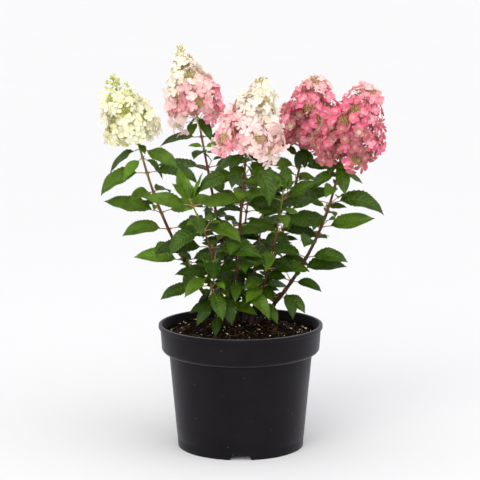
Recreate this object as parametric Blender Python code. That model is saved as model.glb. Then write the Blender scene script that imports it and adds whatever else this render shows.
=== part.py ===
"""A panicle hydrangea shrub in bloom, built together with its round nursery pot.

Metres, +Z up, origin at the middle of the pot's underside. Sizes are written in
millimetres and turned to metres by MM. The shrub grows from a pot full of potting
mix: five flowering canes, each with leaves in opposite pairs and a cone of blossom
on top, and five leafy shoots between them. Each cane is bare at its foot and ends
where its leaves begin. Its leaves are one solid on the stem that goes on from there,
and its cone of blossom is another. Every solid stands JOINT_GAP clear of the next.
"""

import math
import random

import bmesh
import bpy
from mathutils import Matrix, Vector
from mathutils.bvhtree import BVHTree

MM = 0.001
JOINT_GAP = 0.3 * MM
MERGE = 0.02 * MM

# Pot: a black moulded nursery pot of about ten litres.
POT_SIDES = 36
POT_HEIGHT = 211 * MM
POT_WALL = 2.2 * MM
LIP_RADIUS = 140 * MM
LIP_HEIGHT = 6.5 * MM
LIP_ROUND = 1.2 * MM
LIP_SLOPE = 0.8 * MM
LIP_BEVEL = 1 * MM
COLLAR_TOP_RADIUS = 137 * MM
COLLAR_FOOT_RADIUS = 134.8 * MM
COLLAR_HEIGHT = 40 * MM
COLLAR_ROUND = 9 * MM
COLLAR_ROUND_STEPS = 3
BODY_TOP_RADIUS = 122.3 * MM
BODY_FOOT_RADIUS = 109 * MM
BODY_ROUND = 2 * MM
SKIRT_RADIUS = 108.4 * MM
SKIRT_HEIGHT = 16 * MM
SKIRT_WALL = 3 * MM
SKIRT_EDGE = 1.3 * MM
FLOOR_LIFT = 9.5 * MM
DISH_RADIUS = 30 * MM
DISH_SLOPE = 4 * MM
NOTCH_COUNT = 4
NOTCH_TOP_WIDTH = 28 * MM
NOTCH_FOOT_WIDTH = 37 * MM
NOTCH_ROOF = 0.5 * MM
NOTCH_DEPTH = 8 * MM
DRAIN_COUNT = 8
DRAIN_RADIUS = 6 * MM
DRAIN_RING = 84 * MM
DRAIN_SIDES = 8
CUT_PAST = 2 * MM

# Potting mix: a plug that fills the pot, with a flat crown where the canes stand.
SOIL_SIDES = 18
SOIL_EDGE = 194 * MM
SOIL_CROWN = 207 * MM
SOIL_CROWN_RADIUS = 48 * MM
SOIL_RINGS = 4
SOIL_LUMP = 2.5 * MM

# Canes and shoots.
CANE_SIDES = 8
CANE_STEP = 28 * MM
CANE_FOOT_RADIUS = 3.6 * MM
CANE_TIP_RADIUS = 1.7 * MM
SHOOT_FOOT_RADIUS = 2.6 * MM
SHOOT_TIP_RADIUS = 1.3 * MM
FLARE = 0.45
FLARE_LENGTH = 9 * MM
STEM_SIDES = 5
SHARE_STEP = 0.01

# Leaves: a stalk and a folded oval blade with a drawn-out tip. Width, thickness, stalk
# and stations (share, width) are shares of the blade's length and half width, and
# angles are in degrees. A leaf rolls about its spine to turn its face to the light.
LEAF_WIDTH = 0.46
LEAF_THICKNESS = 1 / 60
LEAF_FOLD = 14
LEAF_STATIONS = ((0.40, 1.0), (0.76, 0.62))
STALK_LENGTH = 0.2
STALK_RADIUS = 1.1 * MM
STALK_TAPER = 0.8
LEAF_CLEARANCE = 1.2 * MM
HEADING_SPREAD = 9
RISE_SPREAD = 5
DROOP_SPREAD = 8
SIZE_SPREAD = (0.92, 1.06)
LIGHT = Vector((0.1, -0.75, 0.66))
BACK_LIGHT = Vector((0.1, 0.75, 0.66))
BACK_LINE = 88 * MM
ROLL_SHARE = 0.8
ROLL_LIMIT = math.radians(55)
HEADING_TRIES = (0, 14, -14, 28, -28, 42, -42)
RISE_TRIES = (0, 14, -14)

# Cones of blossom: four-petalled flowers on stalks from a smaller core. The cone's
# radius is CONE_FOOT of its widest at its foot, swells until WIDEST of its height, and
# then bulges in to its tip.
FLOWER_PETALS = 4
FLOWER_RADIUS = 15.5 * MM
FLOWER_SIZES = (0.88, 1.06)
FLOWER_NOTCH = 0.72
FLOWER_CUP = 0.25
FLOWER_SPREAD = 1.12
FLOWER_TILT = 1.6
FLOWER_SHRINK = 0.35
FLOWER_ROOT = 0.2
HANGING_RADIUS = 18 * MM
HANGING_DROOP = 0.4
CORE_SHARE = 0.62
CORE_START = 0.1
CORE_END = 0.9
CORE_SIDES = 7
CORE_RINGS = 5
CONE_FOOT = 0.72
CONE_TAPER = 0.92
CONE_BULGE = 1.6
WIDEST = 0.16
GOLDEN_ANGLE = math.radians(137.508)


class Stem:
    """A cane or shoot: where it runs, and the leaf pairs it carries.

    foot (x, y), knee and tip (x, y, z) are in millimetres. bare is the share of its
    length below the leaves. Each pair is (share of the length, heading of its first
    leaf, blade length in mm, rise of the stalk, droop of the blade); the heading runs
    from 0 at +X to 90 at +Y, and the second leaf heads the opposite way.
    """

    def __init__(self, name, foot, knee, tip, bare, pairs, bloom=None):
        self.name = name
        self.foot = Vector((foot[0] * MM, foot[1] * MM, SOIL_CROWN + JOINT_GAP))
        self.knee = Vector(knee) * MM
        self.tip = Vector(tip) * MM
        self.bare = bare
        self.pairs = pairs
        self.bloom = bloom
        lower = (self.knee - self.foot).length
        upper = (self.tip - self.knee).length
        self.knee_share = lower / (lower + upper)
        self.length = lower + upper
        self.foot_radius = CANE_FOOT_RADIUS if bloom else SHOOT_FOOT_RADIUS
        self.tip_radius = CANE_TIP_RADIUS if bloom else SHOOT_TIP_RADIUS

    def point(self, share):
        """The smooth bow through foot, knee and tip, at a share of the length."""
        k = self.knee_share
        at_foot = (share - k) * (share - 1) / k
        at_knee = share * (share - 1) / (k * (k - 1))
        at_tip = share * (share - k) / (1 - k)
        return self.foot * at_foot + self.knee * at_knee + self.tip * at_tip

    def direction(self, share):
        return (self.point(share + SHARE_STEP) - self.point(share - SHARE_STEP)).normalized()

    def radius(self, share):
        taper = self.foot_radius + (self.tip_radius - self.foot_radius) * share
        flare = 1 + FLARE * math.exp(-share * self.length / FLARE_LENGTH)
        return taper * flare


class Bloom:
    """A cone of blossom: its top (x, y, z) and widest radius in mm, and its flowers.

    low is the share of its stalk that is bare below the cone. hanging is (share,
    heading, reach in mm) of the flowers that droop on branches of their own.
    """

    def __init__(self, top, radius, flowers, low, hanging=()):
        self.top = Vector(top) * MM
        self.radius = radius * MM
        self.flowers = flowers
        self.low = low
        self.hanging = hanging

    def outline(self, rise):
        """Radius of the cone at a share of its own height."""
        if rise < WIDEST:
            swell = math.sin(math.pi / 2 * rise / WIDEST)
            return self.radius * (CONE_FOOT + (1 - CONE_FOOT) * swell)
        past = (rise - WIDEST) / (1 - WIDEST)
        return self.radius * (1 - CONE_TAPER * past ** CONE_BULGE)


STEMS = (
    Stem("left", (-25, 8), (-114, 5, 354), (-170, 0, 514), 0.20, (
        (0.23, 190, 60, 5, 58), (0.30, 255, 56, 0, 50), (0.38, 178, 80, 12, 18),
        (0.47, 250, 62, 5, 50), (0.56, 192, 68, 14, 34), (0.65, 172, 84, 22, 12),
        (0.76, 240, 58, 15, 45), (0.86, 186, 76, 0, 68), (0.94, 215, 50, -30, 40),
        (0.985, 335, 68, -5, 42)),
        Bloom((-220, 0, 641), 58, 35, 0.08)),
    Stem("back", (-5, 32), (-36, 70, 358), (-70, 100, 533), 0.22, (
        (0.26, 150, 60, 10, 40), (0.35, 60, 62, 10, 40), (0.44, 165, 66, 15, 30),
        (0.53, 75, 66, 15, 45), (0.62, 200, 64, 15, 30), (0.71, 100, 68, 15, 40),
        (0.80, 180, 74, 15, 20), (0.88, 70, 62, 10, 40), (0.96, 192, 68, 5, 40),
        (0.31, 285, 48, 0, 45), (0.48, 300, 54, 0, 45)),
        Bloom((-108, 108, 689), 54, 33, 0.18, ((0.14, 335, 30), (0.11, 205, 34)))),
    Stem("centre", (-14, -8), (-3, -60, 364), (9, -90, 513), 0.20, (
        (0.24, 318, 72, -12, 45), (0.34, 190, 60, 10, 32), (0.455, 325, 62, 5, 40),
        (0.53, 255, 52, 0, 60), (0.60, 190, 60, 8, 40), (0.71, 345, 54, 10, 30),
        (0.80, 80, 58, 10, 40), (0.87, 192, 74, 5, 55), (0.94, 240, 50, -25, 50),
        (0.985, 318, 90, -20, 55), (0.29, 272, 46, -15, 45), (0.40, 100, 52, 0, 40)),
        Bloom((39, -85, 643), 64, 35, 0.02, ((0.02, 205, 42), (0.0, 330, 48)))),
    Stem("right_back", (11, 22), (65, 62, 336), (108, 80, 500), 0.22, (
        (0.27, 80, 60, 10, 40), (0.36, 340, 62, 12, 35), (0.45, 70, 64, 12, 40),
        (0.55, 335, 64, 5, 45), (0.64, 318, 70, 0, 50), (0.73, 0, 70, 14, 20),
        (0.82, 240, 62, 14, 40), (0.90, 350, 58, 14, 35), (0.965, 215, 50, 45, 10),
        (0.31, 290, 48, 0, 45), (0.50, 260, 52, 0, 45)),
        Bloom((133, 80, 642), 55, 35, 0.05)),
    Stem("right", (23, -2), (125, -40, 361), (165, -55, 496), 0.19, (
        (0.205, 328, 52, 0, 65), (0.25, 285, 50, -25, 45), (0.31, 338, 52, 5, 55),
        (0.38, 0, 72, 16, 42), (0.46, 340, 62, 16, 42), (0.56, 80, 60, 15, 40),
        (0.64, 3, 76, 16, 10), (0.71, 255, 60, 5, 50), (0.77, 0, 88, 18, 65),
        (0.86, 80, 56, 10, 50), (0.94, 210, 50, -20, 40), (0.985, 285, 52, -30, 45)),
        Bloom((216, -58, 634), 55, 35, 0.03, ((0.0, 322, 38),))),
    Stem("shoot_left", (-27, -15), (-42, -60, 322), (-83, -95, 435), 0.12, (
        (0.18, 200, 50, 5, 45), (0.28, 285, 60, -25, 40), (0.43, 200, 62, 10, 35),
        (0.53, 275, 54, -5, 50), (0.63, 188, 78, 5, 38), (0.76, 207, 64, -2, 68),
        (0.88, 285, 52, -12, 50), (0.95, 182, 74, 18, 12), (0.985, 140, 52, 62, -8))),
    Stem("shoot_right", (16, -14), (49, -35, 323), (70, -70, 446), 0.12, (
        (0.18, 320, 50, -10, 45), (0.30, 240, 54, -10, 45), (0.43, 345, 64, 8, 38),
        (0.56, 265, 52, -10, 50), (0.70, 10, 62, 10, 38), (0.83, 280, 50, 5, 50),
        (0.93, 350, 60, 20, 20), (0.985, 60, 48, 60, -5), (0.24, 40, 42, -10, 45),
        (0.36, 60, 50, 5, 45), (0.50, 310, 48, 0, 45))),
    Stem("shoot_back", (8, 38), (4, 85, 306), (16, 120, 425), 0.12, (
        (0.18, 120, 50, 5, 45), (0.30, 30, 56, 8, 45), (0.43, 100, 62, 12, 35),
        (0.56, 10, 62, 12, 40), (0.70, 110, 64, 14, 35), (0.83, 20, 60, 14, 40),
        (0.93, 95, 58, 20, 30), (0.985, 0, 46, 50, 10), (0.24, 70, 44, 5, 45),
        (0.49, 145, 54, 8, 40))),
    Stem("shoot_middle", (4, 8), (26, 25, 313), (38, 30, 398), 0.16, (
        (0.22, 40, 54, 8, 45), (0.38, 320, 58, 8, 45), (0.54, 50, 62, 12, 35),
        (0.70, 330, 60, 12, 40), (0.86, 45, 58, 14, 40), (0.98, 320, 48, 45, 10),
        (0.30, 0, 46, 0, 45), (0.46, 270, 52, 8, 40), (0.62, 285, 50, 8, 40))),
    Stem("shoot_front", (-30, -26), (-44, -50, 262), (-52, -68, 306), 0.12, (
        (0.28, 262, 38, -35, 30), (0.52, 225, 44, -30, 35), (0.76, 290, 60, -30, 40),
        (0.97, 218, 54, -15, 50))),
)
LEAF_SEED = 7
BLOOM_SEED = 11


def material(name, colour, roughness):
    """A plain glossy or matte finish for one kind of piece."""
    finish = bpy.data.materials.new(name)
    finish.use_nodes = True
    shader = finish.node_tree.nodes["Principled BSDF"]
    shader.inputs["Base Color"].default_value = (*colour, 1)
    shader.inputs["Roughness"].default_value = roughness
    finish.diffuse_color = (*colour, 1)
    return finish


def add_object(name, verts, faces, finish, collection=None):
    mesh = bpy.data.meshes.new(name)
    mesh.from_pydata(verts, [], faces)
    mesh.materials.append(finish)
    made = bpy.data.objects.new(name, mesh)
    (collection or bpy.context.scene.collection).objects.link(made)
    return made


def turn(profile, sides):
    """Turn a profile of (radius, height) round Z; a zero radius is one point."""
    verts = []
    rings = []
    for radius, height in profile:
        if radius == 0:
            rings.append([len(verts)] * sides)
            verts.append(Vector((0, 0, height)))
            continue
        rings.append(list(range(len(verts), len(verts) + sides)))
        for i in range(sides):
            angle = 2 * math.pi * i / sides
            verts.append(Vector((radius * math.cos(angle), radius * math.sin(angle), height)))
    faces = []
    for upper, lower in zip(rings, rings[1:]):
        for i in range(sides):
            j = (i + 1) % sides
            corners = list(dict.fromkeys([upper[i], lower[i], lower[j], upper[j]]))
            if len(corners) > 2:
                faces.append(corners)
    return verts, faces


def body_radius(height):
    """Outer radius of the tapering body between the skirt and the collar."""
    body_top = POT_HEIGHT - COLLAR_HEIGHT - COLLAR_ROUND
    share = (height - SKIRT_HEIGHT) / (body_top - SKIRT_HEIGHT)
    return BODY_FOOT_RADIUS + (BODY_TOP_RADIUS - BODY_FOOT_RADIUS) * share


def pot_profile():
    """Down the outside, across the underside, and back up the inside of the pot."""
    collar_foot = POT_HEIGHT - COLLAR_HEIGHT
    body_top = collar_foot - COLLAR_ROUND
    lip_foot = POT_HEIGHT - LIP_HEIGHT
    outside = [
        (LIP_RADIUS - LIP_ROUND, POT_HEIGHT),
        (LIP_RADIUS, POT_HEIGHT - LIP_ROUND),
        (LIP_RADIUS, lip_foot),
        (COLLAR_TOP_RADIUS, lip_foot - LIP_SLOPE),
    ]
    for i in range(COLLAR_ROUND_STEPS + 1):
        angle = math.pi / 2 * i / COLLAR_ROUND_STEPS
        radius = BODY_TOP_RADIUS + (COLLAR_FOOT_RADIUS - BODY_TOP_RADIUS) * math.cos(angle)
        outside.append((radius, collar_foot - COLLAR_ROUND * math.sin(angle)))
    outside += [
        (body_radius(SKIRT_HEIGHT + BODY_ROUND), SKIRT_HEIGHT + BODY_ROUND),
        (SKIRT_RADIUS, SKIRT_HEIGHT),
        (SKIRT_RADIUS, SKIRT_EDGE),
        (SKIRT_RADIUS - SKIRT_EDGE, 0),
    ]
    skirt_inner = SKIRT_RADIUS - SKIRT_WALL
    underside = [
        (skirt_inner, 0),
        (skirt_inner, FLOOR_LIFT),
        (DISH_RADIUS + DISH_SLOPE, FLOOR_LIFT),
        (DISH_RADIUS, 0),
        (0, 0),
    ]
    inner_floor = FLOOR_LIFT + POT_WALL
    inside = [
        (0, POT_WALL),
        (DISH_RADIUS - POT_WALL, POT_WALL),
        (DISH_RADIUS + DISH_SLOPE - POT_WALL, inner_floor),
        (body_radius(inner_floor) - POT_WALL, inner_floor),
        (BODY_TOP_RADIUS - POT_WALL, body_top),
        (COLLAR_FOOT_RADIUS - POT_WALL, collar_foot),
        (LIP_RADIUS - LIP_ROUND - 2 * POT_WALL, POT_HEIGHT - LIP_BEVEL),
        (LIP_RADIUS - LIP_ROUND - 2 * POT_WALL + LIP_SLOPE, POT_HEIGHT),
    ]
    return outside + underside + inside


def drain_cutter(finish):
    """A ring of upright posts that cuts the drain holes through the floor."""
    verts = []
    faces = []
    for k in range(DRAIN_COUNT):
        middle = 2 * math.pi * (k + 0.5) / DRAIN_COUNT
        start = len(verts)
        for height in (FLOOR_LIFT - CUT_PAST, FLOOR_LIFT + POT_WALL + CUT_PAST):
            for i in range(DRAIN_SIDES):
                angle = 2 * math.pi * i / DRAIN_SIDES
                x = DRAIN_RING * math.cos(middle) + DRAIN_RADIUS * math.cos(angle)
                y = DRAIN_RING * math.sin(middle) + DRAIN_RADIUS * math.sin(angle)
                verts.append(Vector((x, y, height)))
        upper = start + DRAIN_SIDES
        faces.append([start + i for i in reversed(range(DRAIN_SIDES))])
        faces.append([upper + i for i in range(DRAIN_SIDES)])
        for i in range(DRAIN_SIDES):
            j = (i + 1) % DRAIN_SIDES
            faces.append([start + i, start + j, upper + j, upper + i])
    return add_object("drain_cutter", verts, faces, finish)


def notch_cutter(finish):
    """Wedges that cut the water notches through the skirt of the pot."""
    verts = []
    faces = []
    slope = (NOTCH_FOOT_WIDTH - NOTCH_TOP_WIDTH) / 2 / FLOOR_LIFT
    for k in range(NOTCH_COUNT):
        spin = Matrix.Rotation(2 * math.pi * k / NOTCH_COUNT - math.pi / 2, 3, "Z")
        start = len(verts)
        for out in (SKIRT_RADIUS - NOTCH_DEPTH, SKIRT_RADIUS + CUT_PAST):
            for height in (-CUT_PAST, FLOOR_LIFT - NOTCH_ROOF):
                half = NOTCH_TOP_WIDTH / 2 + slope * (FLOOR_LIFT - height)
                verts += [spin @ Vector((out, -half, height)), spin @ Vector((out, half, height))]
        a, b, c, d, e, f, g, h = range(start, start + 8)
        faces += [[a, c, d, b], [e, f, h, g], [a, b, f, e], [c, g, h, d], [a, e, g, c],
                  [b, d, h, f]]
    return add_object("notch_cutter", verts, faces, finish)


def is_closed(mesh):
    """Whether every edge of a mesh is shared by exactly two faces."""
    uses = {}
    for polygon in mesh.polygons:
        for key in polygon.edge_keys:
            uses[key] = uses.get(key, 0) + 1
    return all(count == 2 for count in uses.values())


def combined(target, operation, solver, cutter, collection):
    """The mesh that a Boolean gives, with its small slivers closed up."""
    change = target.modifiers.new("join", "BOOLEAN")
    change.operation = operation
    change.solver = solver
    if solver == "EXACT":
        change.material_mode = "TRANSFER"
    if collection:
        change.operand_type = "COLLECTION"
        change.collection = collection
    else:
        change.object = cutter
    depsgraph = bpy.context.evaluated_depsgraph_get()
    result = bpy.data.meshes.new_from_object(target.evaluated_get(depsgraph))
    target.modifiers.clear()
    keep_largest(result)
    return result


def apply_boolean(target, operation, cutter=None, collection=None):
    """Cut or join by EXACT, or by MANIFOLD where that leaves an open edge."""
    result = combined(target, operation, "EXACT", cutter, collection)
    if not is_closed(result):
        result = combined(target, operation, "MANIFOLD", cutter, collection)
    target.data = result
    used = list(collection.objects) if collection else [cutter]
    for made in used:
        bpy.data.objects.remove(made, do_unlink=True)
    if collection:
        bpy.data.collections.remove(collection)


def keep_largest(mesh):
    """Drop loose scraps and sealed hollows: keep only the largest closed skin."""
    shape = bmesh.new()
    shape.from_mesh(mesh)
    bmesh.ops.remove_doubles(shape, verts=shape.verts, dist=MERGE)
    bmesh.ops.dissolve_degenerate(shape, edges=shape.edges, dist=MERGE / 2)
    unseen = set(shape.faces)
    skins = []
    while unseen:
        front = [unseen.pop()]
        skin = list(front)
        while front:
            for edge in front.pop().edges:
                fresh = [face for face in edge.link_faces if face in unseen]
                unseen.difference_update(fresh)
                front += fresh
                skin += fresh
        skins.append(skin)
    skins.sort(key=len)
    loose = [face for skin in skins[:-1] for face in skin]
    bmesh.ops.delete(shape, geom=loose, context="FACES")
    shape.to_mesh(mesh)
    shape.free()


def build_pot(finish):
    verts, faces = turn(pot_profile(), POT_SIDES)
    upper_ring = list(range(POT_SIDES))
    last_ring = list(range(len(verts) - POT_SIDES, len(verts)))
    for i in range(POT_SIDES):
        j = (i + 1) % POT_SIDES
        faces.append([last_ring[i], upper_ring[i], upper_ring[j], last_ring[j]])
    pot = add_object("pot", verts, faces, finish)
    apply_boolean(pot, "DIFFERENCE", cutter=drain_cutter(finish))
    apply_boolean(pot, "DIFFERENCE", cutter=notch_cutter(finish))
    pot.data.shade_smooth()
    pot.data.set_sharp_from_angle(angle=math.radians(35))
    return pot


def inner_radius(height):
    """Radius of the pot's inner wall at a height above its raised floor."""
    body_top = POT_HEIGHT - COLLAR_HEIGHT - COLLAR_ROUND
    collar_foot = POT_HEIGHT - COLLAR_HEIGHT
    if height <= body_top:
        low, high = FLOOR_LIFT + POT_WALL, body_top
        start, end = body_radius(low), BODY_TOP_RADIUS
    elif height <= collar_foot:
        low, high = body_top, collar_foot
        start, end = BODY_TOP_RADIUS, COLLAR_FOOT_RADIUS
    else:
        low, high = collar_foot, POT_HEIGHT - LIP_BEVEL
        start, end = COLLAR_FOOT_RADIUS, LIP_RADIUS - LIP_ROUND - POT_WALL
    share = (height - low) / (high - low)
    return start + (end - start) * share - POT_WALL


def build_soil(finish):
    """The potting mix: fills the pot's inside and heaps a little round the canes."""
    inner_floor = FLOOR_LIFT + POT_WALL + JOINT_GAP
    body_top = POT_HEIGHT - COLLAR_HEIGHT - COLLAR_ROUND
    collar_foot = POT_HEIGHT - COLLAR_HEIGHT
    clear = 2 * JOINT_GAP
    profile = [(0, SOIL_CROWN), (SOIL_CROWN_RADIUS, SOIL_CROWN)]
    edge = inner_radius(SOIL_EDGE) - clear
    for i in range(1, SOIL_RINGS):
        share = i / SOIL_RINGS
        radius = SOIL_CROWN_RADIUS + (edge - SOIL_CROWN_RADIUS) * share
        sink = 0.5 - 0.5 * math.cos(math.pi * share)
        profile.append((radius, SOIL_CROWN + (SOIL_EDGE - SOIL_CROWN) * sink))
    profile += [
        (edge, SOIL_EDGE),
        (inner_radius(collar_foot) - clear, collar_foot),
        (inner_radius(body_top) - clear, body_top),
        (inner_radius(inner_floor) - clear, inner_floor),
        (DISH_RADIUS, inner_floor),
        (0, inner_floor),
    ]
    verts, faces = turn(profile, SOIL_SIDES)
    rng = random.Random(BLOOM_SEED)
    first_lumpy = 1 + SOIL_SIDES
    for i in range(first_lumpy, first_lumpy + (SOIL_RINGS - 1) * SOIL_SIDES):
        verts[i].z += rng.uniform(-SOIL_LUMP, SOIL_LUMP)
    return add_object("soil", verts, faces, finish)


def ring(centre, normal, radius, sides):
    """Corners of a regular ring square to normal, starting nearest +X."""
    side = (Vector((1, 0, 0)) - normal * normal.x).normalized()
    up = normal.cross(side)
    corners = []
    for i in range(sides):
        angle = 2 * math.pi * i / sides
        corners.append(centre + radius * (side * math.cos(angle) + up * math.sin(angle)))
    return corners


def tube(rings):
    """A closed tube through rings of corners, with flat ends."""
    sides = len(rings[0])
    verts = [corner for corners in rings for corner in corners]
    faces = [[i for i in reversed(range(sides))]]
    for k in range(len(rings) - 1):
        for i in range(sides):
            j = (i + 1) % sides
            low, high = k * sides, (k + 1) * sides
            faces.append([low + i, low + j, high + j, high + i])
    faces.append([(len(rings) - 1) * sides + i for i in range(sides)])
    return verts, faces


def limb(stem, start, end, sides, flat_foot=False):
    """The stretch of a stem between two shares of its length."""
    steps = max(2, round((end - start) * stem.length / CANE_STEP))
    rings = []
    for k in range(steps + 1):
        share = start + (end - start) * k / steps
        normal = stem.direction(share)
        if k == 0 and flat_foot:
            normal = Vector((0, 0, 1))
        rings.append(ring(stem.point(share), normal, stem.radius(share), sides))
    return tube(rings)


def leaf_solid(root, heading, rise, droop, blade, swell=0.0):
    """Corners and triangles of one leaf, from its stalk's root to its tip.

    heading, rise and droop are in degrees, blade in metres. swell thickens and
    widens it on every side, to try whether it lies clear of what is near.
    """
    yaw = math.radians(heading)
    out = Vector((math.cos(yaw), math.sin(yaw), 0))
    across = Vector((-math.sin(yaw), math.cos(yaw), 0))
    fold = math.radians(LEAF_FOLD)
    half_width = LEAF_WIDTH * blade / 2 + swell
    half_thick = LEAF_THICKNESS * blade / 2 + swell
    stalk = STALK_LENGTH * blade
    pitch = math.radians(rise)
    along = out * math.cos(pitch) + Vector((0, 0, math.sin(pitch)))
    up = along.cross(across)
    light = BACK_LIGHT if root.y > BACK_LINE else LIGHT
    roll = math.atan2(light.dot(across), light.dot(up)) * ROLL_SHARE
    roll = max(-ROLL_LIMIT, min(ROLL_LIMIT, roll))
    stations = [(root, up, STALK_RADIUS + swell, STALK_RADIUS + swell, 0)]
    place = root + along * stalk
    neck = STALK_RADIUS * STALK_TAPER + swell
    stations.append((place, up, neck, neck, 0))
    last_share = 0
    for share, width in LEAF_STATIONS + ((1.0, 0.0),):
        pitch = math.radians(rise - droop * (last_share + share) / 2)
        along = out * math.cos(pitch) + Vector((0, 0, math.sin(pitch)))
        place = place + along * blade * (share - last_share)
        up = along.cross(across)
        stations.append((place, up, half_width * width, half_thick, fold))
        last_share = share
    verts = []
    for place, up, wide, thick, bend in stations[:-1]:
        side = across * math.cos(roll) - up * math.sin(roll)
        top = up * math.cos(roll) + across * math.sin(roll)
        lift = top * wide * math.sin(bend)
        spread = side * wide * math.cos(bend)
        verts += [place + spread + lift, place + top * thick,
                  place - spread + lift, place - top * thick]
    tip = stations[-1][0]
    faces = [[0, 1, 2], [0, 2, 3]]
    for k in range(len(stations) - 2):
        low, high = 4 * k, 4 * (k + 1)
        for i, j in ((0, 1), (2, 1), (2, 3), (0, 3)):
            quad = [[low + i, high + i, low + j], [high + i, high + j, low + j]]
            if (i, j) in ((2, 1), (0, 3)):
                quad = [tri[::-1] for tri in quad]
            faces += quad
    last = 4 * (len(stations) - 2)
    verts.append(tip)
    end = len(verts) - 1
    faces += [[last, end, last + 1], [last + 1, end, last + 2], [last + 2, end, last + 3],
              [last + 3, end, last]]
    return verts, faces


def tree_of(verts, faces):
    return BVHTree.FromPolygons([tuple(v) for v in verts], [tuple(f) for f in faces])


def grow_leaves(stem, obstacles):
    """Leaf pairs of a stem by the seeded rule, each clear of every obstacle.

    A leaf that would touch something is turned or tilted a little, and is left out
    when no try lies clear. Blades of one stem keep clear of each other too.
    """
    rng = random.Random(f"{LEAF_SEED} {stem.name}")
    blades = []
    leaves = []
    for share, heading, blade, rise, droop in stem.pairs:
        for turned in (0, 180):
            aim = heading + turned + rng.uniform(-HEADING_SPREAD, HEADING_SPREAD)
            lift = rise + rng.uniform(-RISE_SPREAD, RISE_SPREAD)
            bend = droop + rng.uniform(-DROOP_SPREAD, DROOP_SPREAD)
            size = blade * MM * rng.uniform(*SIZE_SPREAD)
            root = stem.point(share)
            for change, tilt in [(c, t) for c in HEADING_TRIES for t in RISE_TRIES]:
                shape = (root, aim + change, lift + tilt, bend, size)
                trial = tree_of(*leaf_solid(*shape, swell=LEAF_CLEARANCE))
                if any(trial.overlap(other) for other in obstacles):
                    continue
                verts, faces = leaf_solid(*shape)
                blade_faces = [f for f in faces if min(f) >= 4]
                blade_tree = tree_of(verts, blade_faces)
                if any(blade_tree.overlap(other) for other in blades):
                    continue
                blades.append(blade_tree)
                leaves.append((verts, faces))
                break
    return leaves


def flower_solid(centre, normal, apex, spin, radius):
    """A four-petalled flower whose stalk is a cone that runs back to apex."""
    side = normal.orthogonal().normalized()
    up = normal.cross(side)
    corners = 2 * FLOWER_PETALS
    verts = []
    for i in range(corners):
        angle = spin + 2 * math.pi * i / corners
        reach = radius if i % 2 == 0 else radius * FLOWER_NOTCH
        flat = side * math.cos(angle) + up * math.sin(angle)
        verts.append(centre + flat * reach + normal * FLOWER_CUP * reach)
    verts += [centre, apex]
    faces = []
    for i in range(corners):
        j = (i + 1) % corners
        faces += [[i, j, corners], [j, i, corners + 1]]
    return verts, faces


def build_bloom(stem, finish):
    """The flower stalk, the core and the flowers of one cone, fused to one solid."""
    bloom = stem.bloom
    start = stem.tip + (bloom.top - stem.tip).normalized() * JOINT_GAP
    length = (bloom.top - start).length
    upward = (bloom.top - start).normalized()
    side = (Vector((1, 0, 0)) - upward * upward.x).normalized()
    other = upward.cross(side)
    height = length * (1 - bloom.low)
    foot = start + upward * length * bloom.low
    rings = [ring(start, stem.direction(1), stem.tip_radius, CORE_SIDES),
             ring(foot, upward, stem.tip_radius, CORE_SIDES)]
    for k in range(CORE_RINGS):
        rise = CORE_START + (CORE_END - CORE_START) * k / (CORE_RINGS - 1)
        radius = bloom.outline(rise) * CORE_SHARE
        rings.append(ring(foot + upward * rise * height, upward, radius, CORE_SIDES))
    name = f"bloom_{stem.name}"
    mass = add_object(name, *tube(rings), finish)
    flowers = bpy.data.collections.new(name + "_flowers")
    bpy.context.scene.collection.children.link(flowers)
    rng = random.Random(f"{BLOOM_SEED} {stem.name}")
    for i in range(bloom.flowers):
        rise = ((i + 0.5) / bloom.flowers) ** FLOWER_SPREAD
        angle = i * GOLDEN_ANGLE
        spread = side * math.cos(angle) + other * math.sin(angle)
        normal = (spread + upward * FLOWER_TILT * (rise - WIDEST)).normalized()
        size = FLOWER_RADIUS * rng.uniform(*FLOWER_SIZES) * (1 - FLOWER_SHRINK * rise)
        middle = foot + upward * min(rise * height, height - size * FLOWER_CUP)
        reach = max(bloom.outline(rise) - size * FLOWER_CUP, STALK_RADIUS)
        root = foot + upward * max(rise, CORE_START + WIDEST / 2) * height
        apex = root + spread * reach * FLOWER_ROOT
        flower = flower_solid(middle + spread * reach, normal, apex, rng.uniform(0, math.pi), size)
        add_object(f"flower_{i}", *flower, finish, flowers)
    for i, (share, heading, reach) in enumerate(bloom.hanging):
        angle = math.radians(heading)
        spread = side * math.cos(angle) + other * math.sin(angle)
        centre = start + upward * share * length + spread * reach * MM
        apex = foot + upward * (CORE_START + WIDEST / 2) * height
        flower = flower_solid(centre, (spread - upward * HANGING_DROOP).normalized(), apex, 0,
                              HANGING_RADIUS)
        add_object(f"hanging_flower_{i}", *flower, finish, flowers)
    apply_boolean(mass, "UNION", collection=flowers)
    return mass


def build_leaves(stem, obstacles, bark, finish):
    """A leafy stretch of stem with its leaf pairs, fused to one solid."""
    name = f"leaves_{stem.name}"
    gap = JOINT_GAP / stem.length
    verts, faces = limb(stem, stem.bare + gap, 1, STEM_SIDES)
    mass = add_object(name, verts, faces, bark)
    group = bpy.data.collections.new(name + "_group")
    bpy.context.scene.collection.children.link(group)
    for i, leaf in enumerate(grow_leaves(stem, obstacles)):
        add_object(f"leaf_{i}", *leaf, finish, group)
    apply_boolean(mass, "UNION", collection=group)
    return mass


def mesh_tree(made):
    return BVHTree.FromPolygons([tuple(v.co) for v in made.data.vertices],
                                [tuple(p.vertices) for p in made.data.polygons])


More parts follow.
